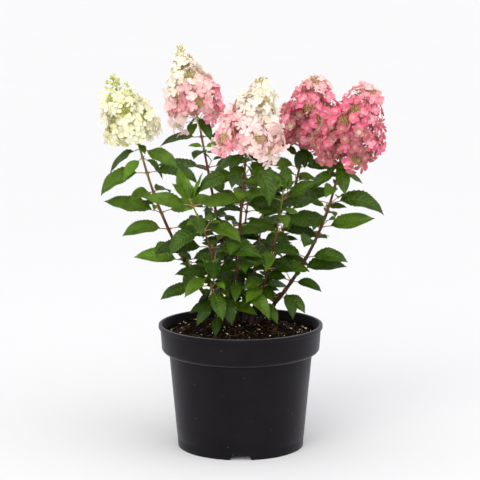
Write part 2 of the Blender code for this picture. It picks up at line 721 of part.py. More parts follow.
def main():
    for old in list(bpy.data.objects):
        bpy.data.objects.remove(old, do_unlink=True)
    plastic = material("moulded_plastic", (0.021, 0.021, 0.024), 0.55)
    mix = material("potting_mix", (0.035, 0.02, 0.012), 0.95)
    bark = material("young_bark", (0.11, 0.035, 0.022), 0.7)
    leaf = material("leaf", (0.05, 0.15, 0.025), 0.5)
    petal = material("petal", (0.8, 0.35, 0.42), 0.6)
    solids = {}
    solids["pot"] = build_pot(plastic)
    solids["soil"] = build_soil(mix)
    for stem in STEMS:
        name = f"cane_{stem.name}"
        verts, faces = limb(stem, 0, stem.bare, CANE_SIDES, flat_foot=True)
        solids[name] = add_object(name, verts, faces, bark)
    for stem in STEMS:
        if stem.bloom:
            solids[f"bloom_{stem.name}"] = build_bloom(stem, petal)
    stems = {stem.name: tree_of(*limb(stem, stem.bare, 1, STEM_SIDES)) for stem in STEMS}
    for stem in STEMS:
        obstacles = [mesh_tree(made) for made in solids.values()]
        obstacles += [tree for name, tree in stems.items() if name != stem.name]
        solids[f"leaves_{stem.name}"] = build_leaves(stem, obstacles, bark, leaf)


main()
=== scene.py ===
"""A panicle hydrangea in bloom in its nursery pot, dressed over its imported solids.

Metres, +Z up, origin at the middle of the pot's underside. Canes, leaves and cones of
blossom grow here by the same rules as the solids, so that each one stands where its
solid is, and go on from there into fine twigs, toothed leaves and single flowers.
"""

import math
import random

import bmesh
import bpy
from mathutils import Matrix, Vector, noise
from mathutils.bvhtree import BVHTree
from mathutils.kdtree import KDTree


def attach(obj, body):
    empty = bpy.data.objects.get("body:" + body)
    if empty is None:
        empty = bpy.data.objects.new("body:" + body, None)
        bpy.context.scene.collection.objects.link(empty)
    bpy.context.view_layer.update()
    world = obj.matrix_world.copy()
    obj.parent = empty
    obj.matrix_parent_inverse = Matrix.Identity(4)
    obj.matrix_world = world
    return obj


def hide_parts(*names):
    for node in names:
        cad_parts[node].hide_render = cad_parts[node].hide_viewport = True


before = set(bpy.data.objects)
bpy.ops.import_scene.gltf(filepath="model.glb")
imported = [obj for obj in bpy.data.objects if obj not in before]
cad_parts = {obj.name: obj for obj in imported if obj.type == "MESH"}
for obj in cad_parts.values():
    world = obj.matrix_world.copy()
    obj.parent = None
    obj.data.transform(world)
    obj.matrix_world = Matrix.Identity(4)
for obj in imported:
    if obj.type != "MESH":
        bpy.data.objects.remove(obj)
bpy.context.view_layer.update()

MM = 0.001
UP = Vector((0, 0, 1))
LEAF_SEED = 7
LOOK_SEED = 5
GOLDEN_ANGLE = math.radians(137.508)

# Pot, as the solid is turned.
POT_SIDES = 144
POT_HEIGHT = 211 * MM
POT_WALL = 2.2 * MM
LIP_RADIUS = 140 * MM
LIP_HEIGHT = 6.5 * MM
LIP_ROUND = 1.2 * MM
COLLAR_TOP_RADIUS = 137 * MM
COLLAR_FOOT_RADIUS = 134.8 * MM
COLLAR_HEIGHT = 40 * MM
COLLAR_ROUND = 9 * MM
BODY_TOP_RADIUS = 122.3 * MM
BODY_FOOT_RADIUS = 109 * MM
SKIRT_RADIUS = 108.4 * MM
SKIRT_HEIGHT = 16 * MM
SKIRT_WALL = 3 * MM
FLOOR_LIFT = 9.5 * MM
COLLAR_FOOT = POT_HEIGHT - COLLAR_HEIGHT
BODY_TOP = COLLAR_FOOT - COLLAR_ROUND
INNER_FLOOR = FLOOR_LIFT + POT_WALL
DISH_RADIUS = 30 * MM
DISH_SLOPE = 4 * MM
NOTCH_COUNT = 4
NOTCH_TOP_WIDTH = 28 * MM
NOTCH_FOOT_WIDTH = 37 * MM
NOTCH_HEIGHT = 9 * MM
DRAIN_COUNT = 8
DRAIN_RADIUS = 6 * MM
DRAIN_RING = 84 * MM

# Potting mix.
SOIL_EDGE = 194 * MM
SOIL_CROWN = 207 * MM
SOIL_CROWN_RADIUS = 48 * MM
SOIL_SIDES = 180
SOIL_RINGS = 70
SOIL_LUMPS = ((17 * MM, 4.2 * MM), (7 * MM, 3.6 * MM), (3 * MM, 1.9 * MM))
FOOT_MOUND_RADIUS = 9 * MM
FOOT_MOUND_HEIGHT = 1.2 * MM
JOINT_GAP = 0.3 * MM
CHIP_COUNT = 900
GRAIN_COUNT = 150
EDGE_GRAIN_COUNT = 110
EDGE_GRAIN_RING = (100 * MM, 128 * MM)
FIBRE_COUNT = 150
# Log-normal sizes of loose matter in millimetres: (mean, spread, the most).
CHIP_SIZE = (0.75, 0.45, 6.5)
GRAIN_SIZE = (0.3, 0.35, 2.4)
TAN_CHIP_MOST = 3.2 * MM
BIG_CHIP = 3 * MM
CHIP_LIFT = 0.12
GRAIN_LIFT = 0.6
CHIP_ROUGHNESS = 0.42
WALL_CLEARANCE = 4 * MM
FIBRE_LENGTH = (8, 26)
FIBRE_BEND = 1.6
FIBRE_RADIUS = (0.25, 0.55)

# Canes and shoots.
CANE_FOOT_RADIUS = 3.6 * MM
CANE_TIP_RADIUS = 1.7 * MM
SHOOT_FOOT_RADIUS = 2.6 * MM
SHOOT_TIP_RADIUS = 1.3 * MM
FLARE = 0.45
FLARE_LENGTH = 9 * MM
CANE_SIDES = 14
CANE_STEP = 3.5 * MM
CANE_SINK = 9 * MM
NODE_SWELL = 0.22
NODE_LENGTH = 3.2 * MM
RIDGE_DEPTH = 0.22 * MM
RIDGE_LENGTH = 1 / 60
RIDGE_PITCH = 1.9

# Leaves, by the rule of their solids. Width and stalk are shares of the blade's length,
# and headings, rises and droops are in degrees. The solid's blade bends at the stations.
# A leaf rooted behind the back line turns to the light from the back.
LEAF_WIDTH = 0.46
STALK_LENGTH = 0.2
STALK_RADIUS = 1.0 * MM
LEAF_STATIONS = (0.40, 0.76, 1.0)
LIGHT = Vector((0.1, -0.75, 0.66))
BACK_LIGHT = Vector((0.1, 0.75, 0.66))
BACK_LINE = 88 * MM
ROLL_SHARE = 0.8
ROLL_LIMIT = math.radians(55)
HEADING_SPREAD = 9
RISE_SPREAD = 5
DROOP_SPREAD = 8
SIZE_SPREAD = (0.92, 1.06)
HEADING_TRIES = (0, 14, -14, 28, -28, 42, -42)
RISE_TRIES = (0, 14, -14)
TIP_MATCH = 0.15 * MM

# Ranges for one blade: twist, fold and curl in degrees, slim as a share of the width,
# how many waves run along a margin, and the rest as shares of the length.
LEAF_TWIST = (-10, 10)
LEAF_FOLD = (14, 27)
LEAF_CURL = (8, 34)
LEAF_SLIM = (0.88, 1.04)
LEAF_WAVE_COUNT = (1.6, 2.8)
LEAF_WAVE = (0.008, 0.022)
LEAF_BOW = (-0.035, 0.035)
LEAF_QUILT = (0.004, 0.008)

# Outline, veins and thickness of a blade. The drip tip and where the veins lie are
# shares of the length, and a tooth is a share of the width.
DRIP_TIP = 0.2
TOOTH_DEPTH = 0.03
LEAF_COLUMNS = (-1, -0.7, -0.36, 0, 0, 0.36, 0.7, 1)
MIDRIB_COLUMN = 3
LEAST_VEINS = 6
SHORT_BLADE = 40 * MM
LONG_BLADE = 64 * MM
VEIN_FIRST = 0.055
VEIN_SPAN = 0.80
VEIN_HALF = 0.0055
VEIN_LEAD = 0.2
# Rows from one side vein to the next: (share of the way, tooth, quilting).
BETWEEN_VEINS = ((0.27, -0.8, 0.75), (0.52, 1.0, 1.0), (0.77, -0.8, 0.7))
LEAF_THICKNESS = 0.35 * MM
MIDRIB_HALF = 0.55 * MM
MIDRIB_TAPER = 0.65
FULL_RIB_BLADE = 60 * MM
KEEL = 0.5 * MM
KEEL_TAPER = 0.8
VEIN_KEEL = 0.12 * MM

# Leaf stalks, axil buds, side twigs and tufts. The stalks of smaller leaves are shares
# of the blade's length.
STALK_ARCH = 0.06
STALK_TAPER = 0.22
STALK_CLASP = 0.55
TWIG_LEAF_STALK = 0.14
FLOWER_LEAF_STALK = 0.12
TUFT_LEAF_STALK = 0.08
AXIL_BUD_SIZE = 1.15 * MM
# Rings of an axil bud as shares of its size: (how far along it, how thick).
AXIL_BUD_FORM = ((-0.8, 0.5), (0.2, 0.95), (1.3, 0.85), (2.2, 0.45), (2.8, 0.1))
TWIG_RADII = (0.95 * MM, 0.8 * MM, 0.6 * MM)
TWIG_CLEARANCE = 2.2 * MM
TWIG_LAST = 0.93
TUFT_LEAVES = 6
TUFT_FRESH = 2
GOLDEN_SHARE = 0.382
# A back line behind the whole plant, for leaves that all turn to the light in front.
FRONT_LIT = 200 * MM

# Cones of blossom. A foot is a share of the widest radius and a taper what is lost of it
# by the top, and heights are shares of the cone's. Depths lie inside the outline.
CONE_FOOT = 0.72
CONE_TAPER = 0.92
WIDEST = 0.16
PEAK_MARGIN = 0.06
BUD_TOP = 0.91
CLUSTERS_PER_CONE = 80
LIME_BUD_RADIUS = 2.1 * MM
RIPE_BUD_RADIUS = 1.35 * MM
HEART_DEPTH = 15 * MM
OPEN_DEPTH = 8 * MM
INNER_DEPTHS = (22 * MM, 32 * MM)
LOWEST_FLOWER = 6 * MM
# Round the fork of an open branch, no flower is nearer than its reach, and no other
# branch forks nearer than its spacing.
OPEN_REACH = 9 * MM
OPEN_SPACING = 14 * MM
# Which way a hanging branch leans beside its own way, towards the front.
HANGING_LEAN = Vector((0, -0.6, 0))

# Stalks inside a cone.
BRANCH_RADIUS = 0.85 * MM
FLOWER_STALK_RADIUS = 0.5 * MM
FLOWER_STALK_BOW = 1.5 * MM
BUD_STALK_RADII = (0.34 * MM, 0.24 * MM)
CLUSTER_STALK_RADIUS = 0.6 * MM

# Petals and flowers. A row is (share of the petal's length, share of its width). Lengths
# and widths are shares of the flower's radius, which is in millimetres, and turn, pitch
# and roll are in radians.
PETAL_ROWS = ((0.04, 0.12), (0.33, 0.64), (0.64, 1.0), (0.88, 0.86), (1.0, 0.42))
PETAL_COLUMNS = (-1, -0.5, 0, 0.5, 1)
PETAL_THICKNESS = 0.35 * MM
PETAL_LENGTH = (0.88, 1.08)
PETAL_WIDTH = (0.84, 1.02)
PETAL_TURN = 0.12
PETAL_PITCH = 0.16
PETAL_ROLL = 0.2
PETAL_CUP = 0.2
PETAL_ROUNDING = 0.12
PETAL_RIM_LIFT = 0.10
PETAL_RUFFLE = (0.01, 0.06)
PETAL_FRILL = (4.2, 5)
PETAL_OVERLAP = 0.5 * MM
FLOWER_RADIUS = (10.2, 12.6)
INNER_FLOWER_RADIUS = (10, 12)
FLOWER_SHRINK = 0.28
FLOWER_CUP = (-0.15, 0.35)
FLOWER_NOD = 0.34
LOOSE_NOD = 0.75
LOOSE_CHANCE = 0.2
EYE_RADIUS = 0.95 * MM
EYE_LIFT = 0.7 * MM


class Branching:
    """How a side branch ends, in fertile buds with flowers round them.

    buds is how many there are, bud_reach how far they spread and bud_size their radius.
    flowers is how many flowers there are. out and on are the least and the most that one
    stands out from the branch's line, and on along it. Sizes are in millimetres.
    """

    def __init__(self, buds, bud_reach, bud_size, flowers, out, on):
        self.buds = buds
        self.bud_reach = bud_reach
        self.bud_size = bud_size
        self.flowers = flowers
        self.out = out
        self.on = on


CLOSED_BRANCH = Branching(9, 7, 1.2, 5, (6, 14), (1, 15))
OPEN_BRANCH = Branching(40, 11, 1.25, 6, (14, 17), (2, 9))


class Stem:
    """A cane or shoot: where it runs, and the leaf pairs it carries.

    foot (x, y), knee and tip (x, y, z) are in millimetres. Each pair is (share of the
    length, heading of its first leaf, blade length in mm, rise of the stalk, droop of
    the blade). Angles are in degrees. A heading runs from 0 at +X to 90 at +Y, and the
    second leaf of a pair heads the opposite way. A stem without a bloom is a leafy shoot.
    """

    def __init__(self, name, foot, knee, tip, pairs, bloom=None):
        self.name = name
        self.foot = Vector((foot[0] * MM, foot[1] * MM, SOIL_CROWN + JOINT_GAP))
        self.knee = Vector(knee) * MM
        self.tip = Vector(tip) * MM
        self.pairs = pairs
        self.bloom = bloom
        lower = (self.knee - self.foot).length
        upper = (self.tip - self.knee).length
        self.knee_share = lower / (lower + upper)
        self.length = lower + upper
        self.foot_radius = CANE_FOOT_RADIUS if bloom else SHOOT_FOOT_RADIUS
        self.tip_radius = CANE_TIP_RADIUS if bloom else SHOOT_TIP_RADIUS

    def point(self, share):
        """The smooth bow through foot, knee and tip, at a share of the length."""
        k = self.knee_share
        at_foot = (share - k) * (share - 1) / k
        at_knee = share * (share - 1) / (k * (k - 1))
        at_tip = share * (share - k) / (1 - k)
        return self.foot * at_foot + self.knee * at_knee + self.tip * at_tip

    def direction(self, share):
        """Which way the stem runs at a share of its length."""
        step = 0.01
        return (self.point(share + step) - self.point(share - step)).normalized()

    def radius(self, share):
        """Thickness with the flare at the foot and a swelling at each leaf pair."""
        taper = self.foot_radius + (self.tip_radius - self.foot_radius) * share
        radius = taper * (1 + FLARE * math.exp(-max(share, 0) * self.length / FLARE_LENGTH))
        for pair in self.pairs:
            away = (share - pair[0]) * self.length / NODE_LENGTH
            radius *= 1 + NODE_SWELL * math.exp(-away * away)
        return radius


class Bloom:
    """A cone of blossom: its top (x, y, z) and widest radius in mm, and how it flowers.

    low is the share of its stalk that is bare below the cone, and branches is how many
    side branches carry flowers. A rise is a share of the cone's own height. tones are
    (rise, tone) from the foot up, where a tone is a number in PETAL_TONES, and side is
    how much the tone changes towards +X. bud names the finish of its buds. Above
    bud_start it is in bud, and at 1 it has no buds at its tip. sprays are (rise,
    heading) of the branches whose fertile buds lie open to view, and hanging is (share
    of the stalk, heading, reach in mm) of the branches that droop. bulge makes its sides
    rounder, its last flowers are at the rise peak, and seed sets its chances.
    """

    def __init__(self, top, radius, low, branches, tones, side, bud_start, bud, sprays=(),
                 hanging=(), *, bulge, peak, seed):
        self.top = Vector(top) * MM
        self.radius = radius * MM
        self.low = low
        self.branches = branches
        self.tones = tones
        self.side = side
        self.bud_start = bud_start
        self.bud = bud
        self.sprays = sprays
        self.hanging = hanging
        self.bulge = bulge
        self.peak = peak
        self.seed = seed

    def outline(self, rise):
        """Radius of the cone at a share of its own height."""
        if rise < WIDEST:
            swell = math.sin(math.pi / 2 * max(rise, 0) / WIDEST)
            return self.radius * (CONE_FOOT + (1 - CONE_FOOT) * swell)
        past = (min(rise, 1) - WIDEST) / (1 - WIDEST)
        return self.radius * (1 - CONE_TAPER * past ** self.bulge)

    def tone(self, rise, lean):
        """The mean petal tone at a height, where lean runs from -1 at -X to 1 at +X."""
        lower = self.tones[0]
        for upper in self.tones[1:]:
            if rise <= upper[0]:
                break
            lower = upper
        span = max(upper[0] - lower[0], 1e-6)
        along = min(max((rise - lower[0]) / span, 0), 1)
        return lower[1] + (upper[1] - lower[1]) * along + self.side * lean

    def even_rises(self):
        """Rises that leave each branch the same area of the cone."""
        steps = 200
        middles = [(k + 0.5) / steps for k in range(steps)]
        widths = [self.outline(rise) for rise in middles]
        rises = []
        passed = 0
        for rise, width in zip(middles, widths):
            passed += width / sum(widths) * self.branches
            if passed >= len(rises) + 0.5:
                rises.append(rise)
        return rises


STEMS = (
    Stem("left", (-25, 8), (-114, 5, 354), (-170, 0, 514), (
        (0.23, 190, 60, 5, 58), (0.30, 255, 56, 0, 50), (0.38, 178, 80, 12, 18),
        (0.47, 250, 62, 5, 50), (0.56, 192, 68, 14, 34), (0.65, 172, 84, 22, 12),
        (0.76, 240, 58, 15, 45), (0.86, 186, 76, 0, 68), (0.94, 215, 50, -30, 40),
        (0.985, 335, 68, -5, 42)),
        Bloom((-220, 0, 641), 51, 0.08, 34, ((0, 1.3), (0.5, 1.1), (1, 0.3)), 0.2, 0.6,
              "lime", ((0.62, 230), (0.42, 275), (0.25, 310)), bulge=1.3, peak=0.86, seed=49)),
    Stem("back", (-5, 32), (-36, 70, 358), (-70, 100, 533), (
        (0.26, 150, 60, 10, 40), (0.35, 60, 62, 10, 40), (0.44, 165, 66, 15, 30),
        (0.53, 75, 66, 15, 45), (0.62, 200, 64, 15, 30), (0.71, 100, 68, 15, 40),
        (0.80, 180, 74, 15, 20), (0.88, 70, 62, 10, 40), (0.96, 192, 68, 5, 40),
        (0.31, 285, 48, 0, 45), (0.48, 300, 54, 0, 45)),
        Bloom((-108, 108, 689), 52, 0.18, 36,
              ((0, 5.0), (0.26, 5.0), (0.40, 3.3), (0.54, 2.1), (1, 1.9)), 0.8, 0.80,
              "olive", ((0.48, 280), (0.16, 285)), ((0.14, 335, 30), (0.11, 205, 34)),
              bulge=1.0, peak=0.8, seed=33)),
    Stem("centre", (-14, -8), (-3, -60, 364), (9, -90, 513), (
        (0.24, 318, 72, -12, 45), (0.34, 190, 60, 10, 32), (0.455, 325, 62, 5, 40),
        (0.53, 255, 52, 0, 60), (0.60, 190, 60, 8, 40), (0.71, 345, 54, 10, 30),
        (0.80, 80, 58, 10, 40), (0.87, 192, 74, 5, 55), (0.94, 240, 50, -25, 50),
        (0.985, 318, 90, -20, 55), (0.29, 272, 46, -15, 45), (0.40, 100, 52, 0, 40)),
        Bloom((39, -85, 643), 60, 0.02, 42,
              ((0, 4.8), (0.32, 4.4), (0.50, 3.1), (0.62, 2.1), (1, 2.0)), -0.7, 0.9,
              "straw", ((0.84, 258), (0.64, 285), (0.19, 285), (0.12, 222)),
              ((0.05, 205, 42), (0.06, 322, 42)), bulge=1.3, peak=0.92, seed=38)),
    Stem("right_back", (11, 22), (65, 62, 336), (108, 80, 500), (
        (0.27, 80, 60, 10, 40), (0.36, 340, 62, 12, 35), (0.45, 70, 64, 12, 40),
        (0.55, 335, 64, 5, 45), (0.64, 318, 70, 0, 50), (0.73, 0, 70, 14, 20),
        (0.82, 240, 62, 14, 40), (0.90, 350, 58, 14, 35), (0.965, 215, 50, 45, 10),
        (0.31, 290, 48, 0, 45), (0.50, 260, 52, 0, 45)),
        Bloom((133, 80, 642), 55, 0.05, 37,
              ((0, 6.6), (0.55, 6.5), (0.72, 5.6), (0.82, 4.4), (0.9, 3.4)), 0.2, 1,
              "tan", ((0.8, 262), (0.5, 262), (0.36, 290)), ((0.07, 318, 40),),
              bulge=2.0, peak=0.86, seed=14)),
    Stem("right", (23, -2), (125, -40, 361), (165, -55, 496), (
        (0.205, 328, 52, 0, 65), (0.25, 285, 50, -25, 45), (0.31, 338, 52, 5, 55),
        (0.38, 0, 72, 16, 42), (0.46, 340, 62, 16, 42), (0.56, 80, 60, 15, 40),
        (0.64, 3, 76, 16, 10), (0.71, 255, 60, 5, 50), (0.77, 0, 88, 18, 65),
        (0.86, 80, 56, 10, 50), (0.94, 210, 50, -20, 40), (0.985, 285, 52, -30, 45)),
        Bloom((216, -58, 634), 55, 0.03, 38,
              ((0, 7.0), (0.5, 7.0), (0.72, 6.4), (0.82, 5.2), (0.9, 3.8)), 0.1, 1,
              "tan", ((0.8, 300), (0.58, 250), (0.42, 240)),
              ((0.09, 298, 38), (0.05, 215, 32)), bulge=2.0, peak=0.86, seed=1)),
    Stem("shoot_left", (-27, -15), (-42, -60, 322), (-83, -95, 435), (
        (0.18, 200, 50, 5, 45), (0.28, 285, 60, -25, 40), (0.43, 200, 62, 10, 35),
        (0.53, 275, 54, -5, 50), (0.63, 188, 78, 5, 38), (0.76, 207, 64, -2, 68),
        (0.88, 285, 52, -12, 50), (0.95, 182, 74, 18, 12), (0.985, 140, 52, 62, -8))),
    Stem("shoot_right", (16, -14), (49, -35, 323), (70, -70, 446), (
        (0.18, 320, 50, -10, 45), (0.30, 240, 54, -10, 45), (0.43, 345, 64, 8, 38),
        (0.56, 265, 52, -10, 50), (0.70, 10, 62, 10, 38), (0.83, 280, 50, 5, 50),
        (0.93, 350, 60, 20, 20), (0.985, 60, 48, 60, -5), (0.24, 40, 42, -10, 45),
        (0.36, 60, 50, 5, 45), (0.50, 310, 48, 0, 45))),
    Stem("shoot_back", (8, 38), (4, 85, 306), (16, 120, 425), (
        (0.18, 120, 50, 5, 45), (0.30, 30, 56, 8, 45), (0.43, 100, 62, 12, 35),
        (0.56, 10, 62, 12, 40), (0.70, 110, 64, 14, 35), (0.83, 20, 60, 14, 40),
        (0.93, 95, 58, 20, 30), (0.985, 0, 46, 50, 10), (0.24, 70, 44, 5, 45),
        (0.49, 145, 54, 8, 40))),
    Stem("shoot_middle", (4, 8), (26, 25, 313), (38, 30, 398), (
        (0.22, 40, 54, 8, 45), (0.38, 320, 58, 8, 45), (0.54, 50, 62, 12, 35),
        (0.70, 330, 60, 12, 40), (0.86, 45, 58, 14, 40), (0.98, 320, 48, 45, 10),
        (0.30, 0, 46, 0, 45), (0.46, 270, 52, 8, 40), (0.62, 285, 50, 8, 40))),
    Stem("shoot_front", (-30, -26), (-44, -50, 262), (-52, -68, 306), (
        (0.28, 262, 38, -35, 30), (0.52, 225, 44, -30, 35), (0.76, 290, 60, -30, 40),
        (0.97, 218, 54, -15, 50))),
)


# Leaves on the stalk of a cone: (share of the stalk, heading, blade, rise, droop).
FLOWER_STALK_LEAVES = {
    "left": ((0.03, 300, 26, -20, 30),),
    "back": ((0.15, 322, 48, -35, 42), (0.09, 212, 30, -42, 35), (0.14, 120, 44, -20, 50)),
    "centre": ((0.0, 202, 42, -38, 35), (0.0, 338, 24, -25, 30)),
    "right_back": ((0.03, 232, 38, -52, 25), (0.04, 275, 36, -60, 15), (0.03, 322, 36, -50, 25)),
    "right": ((0.0, 262, 30, -50, 25), (0.0, 205, 30, -35, 30)),
}


# ---------------------------------------------------------------- materials

# Where a noise's values lie, and where one patch of colour turns to the next.
NOISE_SPAN = (0.3, 0.7)
PATCH_EDGES = (0.36, 0.64)
# Light that enters a petal comes out again this far off, the red of it furthest.
GLOW_TINT = (0.9, 0.6, 0.4)
GLOW_DEPTH = 2.5 * MM
# Numbers of a colour mix's two inputs and of its output.
MIX_FIRST, MIX_SECOND, MIX_RESULT = 6, 7, 2
DUST_COLOUR = "#5b595e"


def srgb(code):
    """An sRGB hex colour as linear red, green, blue and full alpha."""
    parts = [int(code[i:i + 2], 16) / 255 for i in (1, 3, 5)]
    linear = [p / 12.92 if p <= 0.04045 else ((p + 0.055) / 1.055) ** 2.4 for p in parts]
    return (*linear, 1.0)


def plug(tree, node, links=None, values=None):
    """Set a node's sockets by name or number: values go on them, links come into them."""
    for name, value in (values or {}).items():
        node.inputs[name].default_value = value
    for name, value in (links or {}).items():
        tree.links.new(value, node.inputs[name])


def add_node(tree, kind, links=None, values=None, stops=(), **settings):
    """Add a node; settings are its own, and stops are a ramp's (position, colour)."""
    node = tree.nodes.new(kind)
    for name, value in settings.items():
        setattr(node, name, value)
    for number, (position, colour) in enumerate(stops):
        node.color_ramp.elements[number].position = position
        node.color_ramp.elements[number].color = colour
    plug(tree, node, links, values)
    return node


def new_finish(name, colour):
    """An empty finish with its shader, whose plain colour shows in a simple view."""
    made = bpy.data.materials.new(name)
    made.use_nodes = True
    made.diffuse_color = srgb(colour)
    return made, made.node_tree, made.node_tree.nodes["Principled BSDF"]


def grown_finish(name, dark, light, patch, grain, relief, rough, level=0.5, stretch=1.0,
                 glow=0.0):
    """A natural surface: its colour drifts from dark to light over a fine relief.

    patch and grain are the sizes of the colour patches and of the surface grain and
    relief is the grain's depth, all in metres. rough is the lowest and the highest
    roughness, and level is the shine. stretch under 1 draws the pattern out along Z.
    glow is how much light passes through, as in a petal.
    """
    made, tree, shader = new_finish(name, light)
    place = add_node(tree, "ShaderNodeTexCoord").outputs["Object"]
    drawn = add_node(tree, "ShaderNodeMapping", {"Vector": place},
                     {"Scale": (1, 1, stretch)}).outputs["Vector"]
    patches = add_node(tree, "ShaderNodeTexNoise", {"Vector": drawn},
                       {"Scale": 1 / patch, "Detail": 3, "Roughness": 0.6})
    colour = add_node(tree, "ShaderNodeValToRGB", {"Fac": patches.outputs["Fac"]},
                      stops=((PATCH_EDGES[0], srgb(dark)), (PATCH_EDGES[1], srgb(light))))
    fine = add_node(tree, "ShaderNodeTexNoise", {"Vector": drawn},
                    {"Scale": 1 / grain, "Detail": 2, "Roughness": 0.5})
    spread = add_node(tree, "ShaderNodeMapRange", {"Value": fine.outputs["Fac"]},
                      {"From Min": NOISE_SPAN[0], "From Max": NOISE_SPAN[1],
                       "To Min": rough[0], "To Max": rough[1]})
    bump = add_node(tree, "ShaderNodeBump", {"Height": fine.outputs["Fac"]},
                    {"Strength": 1.0, "Distance": relief})
    plug(tree, shader,
         {"Base Color": colour.outputs["Color"], "Roughness": spread.outputs["Result"],
          "Normal": bump.outputs["Normal"]},
         {"Specular IOR Level": level})
    if glow:
        plug(tree, shader, values={"Subsurface Weight": glow, "Subsurface Radius": GLOW_TINT,
                                   "Subsurface Scale": GLOW_DEPTH})
    return made


def moulded_polypropylene(name, colour, scuffed, rough):
    """Black polypropylene, injection moulded: satin, finely pebbled, paler where scuffed."""
    pebble = 0.7 * MM
    pebble_depth = 0.12 * MM
    cloud = 45 * MM
    speck_spacing = 16 * MM
    speck_edge = (0.03, 0.06)
    scuff_length = 30 * MM
    scuff_edge = (0.64, 0.80)
    scuff_strength = 0.3
    made, tree, shader = new_finish(name, colour)
    place = add_node(tree, "ShaderNodeTexCoord").outputs["Object"]
    grain = add_node(tree, "ShaderNodeTexNoise", {"Vector": place},
                     {"Scale": 1 / pebble, "Detail": 2})
    clouds = add_node(tree, "ShaderNodeTexNoise", {"Vector": place},
                      {"Scale": 1 / cloud, "Detail": 4, "Roughness": 0.6})
    specks = add_node(tree, "ShaderNodeTexVoronoi", {"Vector": place},
                      {"Scale": 1 / speck_spacing, "Randomness": 1.0})
    dust = add_node(tree, "ShaderNodeMapRange", {"Value": specks.outputs["Distance"]},
                    {"From Min": speck_edge[0], "From Max": speck_edge[1],
                     "To Min": 1.0, "To Max": 0.0})
    drawn = add_node(tree, "ShaderNodeMapping", {"Vector": place}, {"Scale": (1, 1, 6)})
    scratch = add_node(tree, "ShaderNodeTexNoise", {"Vector": drawn.outputs["Vector"]},
                       {"Scale": 1 / scuff_length, "Detail": 6, "Roughness": 0.75})
    scuffs = add_node(tree, "ShaderNodeMapRange", {"Value": scratch.outputs["Fac"]},
                      {"From Min": scuff_edge[0], "From Max": scuff_edge[1],
                       "To Min": 0.0, "To Max": scuff_strength})
    wear = add_node(tree, "ShaderNodeMath",
                    {0: dust.outputs["Result"], 1: scuffs.outputs["Result"]},
                    operation="MAXIMUM")
    tone = add_node(tree, "ShaderNodeValToRGB", {"Fac": clouds.outputs["Fac"]},
                    stops=((0.35, srgb(colour)), (0.75, srgb(scuffed))))
    worn = add_node(tree, "ShaderNodeMix",
                    {"Factor": wear.outputs["Value"], MIX_FIRST: tone.outputs["Color"]},
                    {MIX_SECOND: srgb(DUST_COLOUR)}, data_type="RGBA")
    spread = add_node(tree, "ShaderNodeMapRange", {"Value": clouds.outputs["Fac"]},
                      {"From Min": NOISE_SPAN[0], "From Max": NOISE_SPAN[1],
                       "To Min": rough[0], "To Max": rough[1]})
    bump = add_node(tree, "ShaderNodeBump", {"Height": grain.outputs["Fac"]},
                    {"Strength": 0.6, "Distance": pebble_depth})
    plug(tree, shader,
         {"Base Color": worn.outputs[MIX_RESULT], "Roughness": spread.outputs["Result"],
          "Normal": bump.outputs["Normal"]},
         {"IOR": 1.49, "Specular IOR Level": 0.12, "Sheen Weight": 0.2,
          "Sheen Roughness": 0.35, "Sheen Tint": srgb("#ece6f7")})
    return made


# Moulded polypropylene: satin black under a film of dust, and paler on its lip.
POT_FINISHES = (
    moulded_polypropylene("polypropylene_black", "#0b080c", "#131014", (0.42, 0.56)),
    moulded_polypropylene("polypropylene_worn_lip", "#141216", "#2a282c", (0.38, 0.5)),
)
WALL_BLACK, PALE_LIP = range(2)

# Peat and composted bark: dark, matt and crumbly, with paler chips, perlite and fibre.
# Each row is name, dark, light, patch, grain and relief in mm, and roughness.
SOIL_FINISHES = tuple(
    grown_finish(name, dark, light, patch * MM, grain * MM, relief * MM, rough, 0.06)
    for name, dark, light, patch, grain, relief, rough in (
        ("peat_damp", "#050302", "#1c120a", 6, 1.6, 1.2, (0.8, 1.0)),
        ("bark_chip_dark", "#110a06", "#2c1c12", 3, 1, 0.5, (0.75, 0.95)),
        ("bark_chip_brown", "#2b1b0f", "#503722", 3, 1, 0.5, (0.75, 0.95)),
        ("bark_chip_tan", "#806040", "#b79468", 3, 1, 0.4, (0.7, 0.9)),
        ("perlite_grain", "#e6dabb", "#fff9e8", 1.5, 0.6, 0.3, (0.7, 0.95)),
        ("coir_fibre", "#3f2c1c", "#7a5c3e", 4, 1, 0.2, (0.7, 0.9)),
    )
)
PEAT, CHIP_DARK, CHIP_BROWN, CHIP_TAN, PERLITE, FIBRE = range(6)
CHIP_TONES = (PEAT, CHIP_DARK, CHIP_BROWN, CHIP_TAN)
CHIP_WEIGHTS = (5, 5, 2.6, 0.5)
FIBRE_TONES = (FIBRE, FIBRE, CHIP_BROWN)

# Young hydrangea bark from the foot up: dull red-brown, darkened at the foot as painted shade, then
# redder, then tan and green.
# Ridges run along the cane, so the pattern is drawn out along it.
BARK_FINISHES = tuple(
    grown_finish(f"cane_bark_{i}", dark, light, 5 * MM, 1.1 * MM, 0.25 * MM, (0.5, 0.75), 0.25, 0.16)
    for i, (dark, light) in enumerate((
        ("#1b0f09", "#342012"), ("#29160e", "#4a2b1b"), ("#3a2015", "#633a25"),
        ("#4f2f1c", "#7a5231"), ("#5d4c22", "#867338"), ("#6a6a2a", "#949246"),
    ))
)
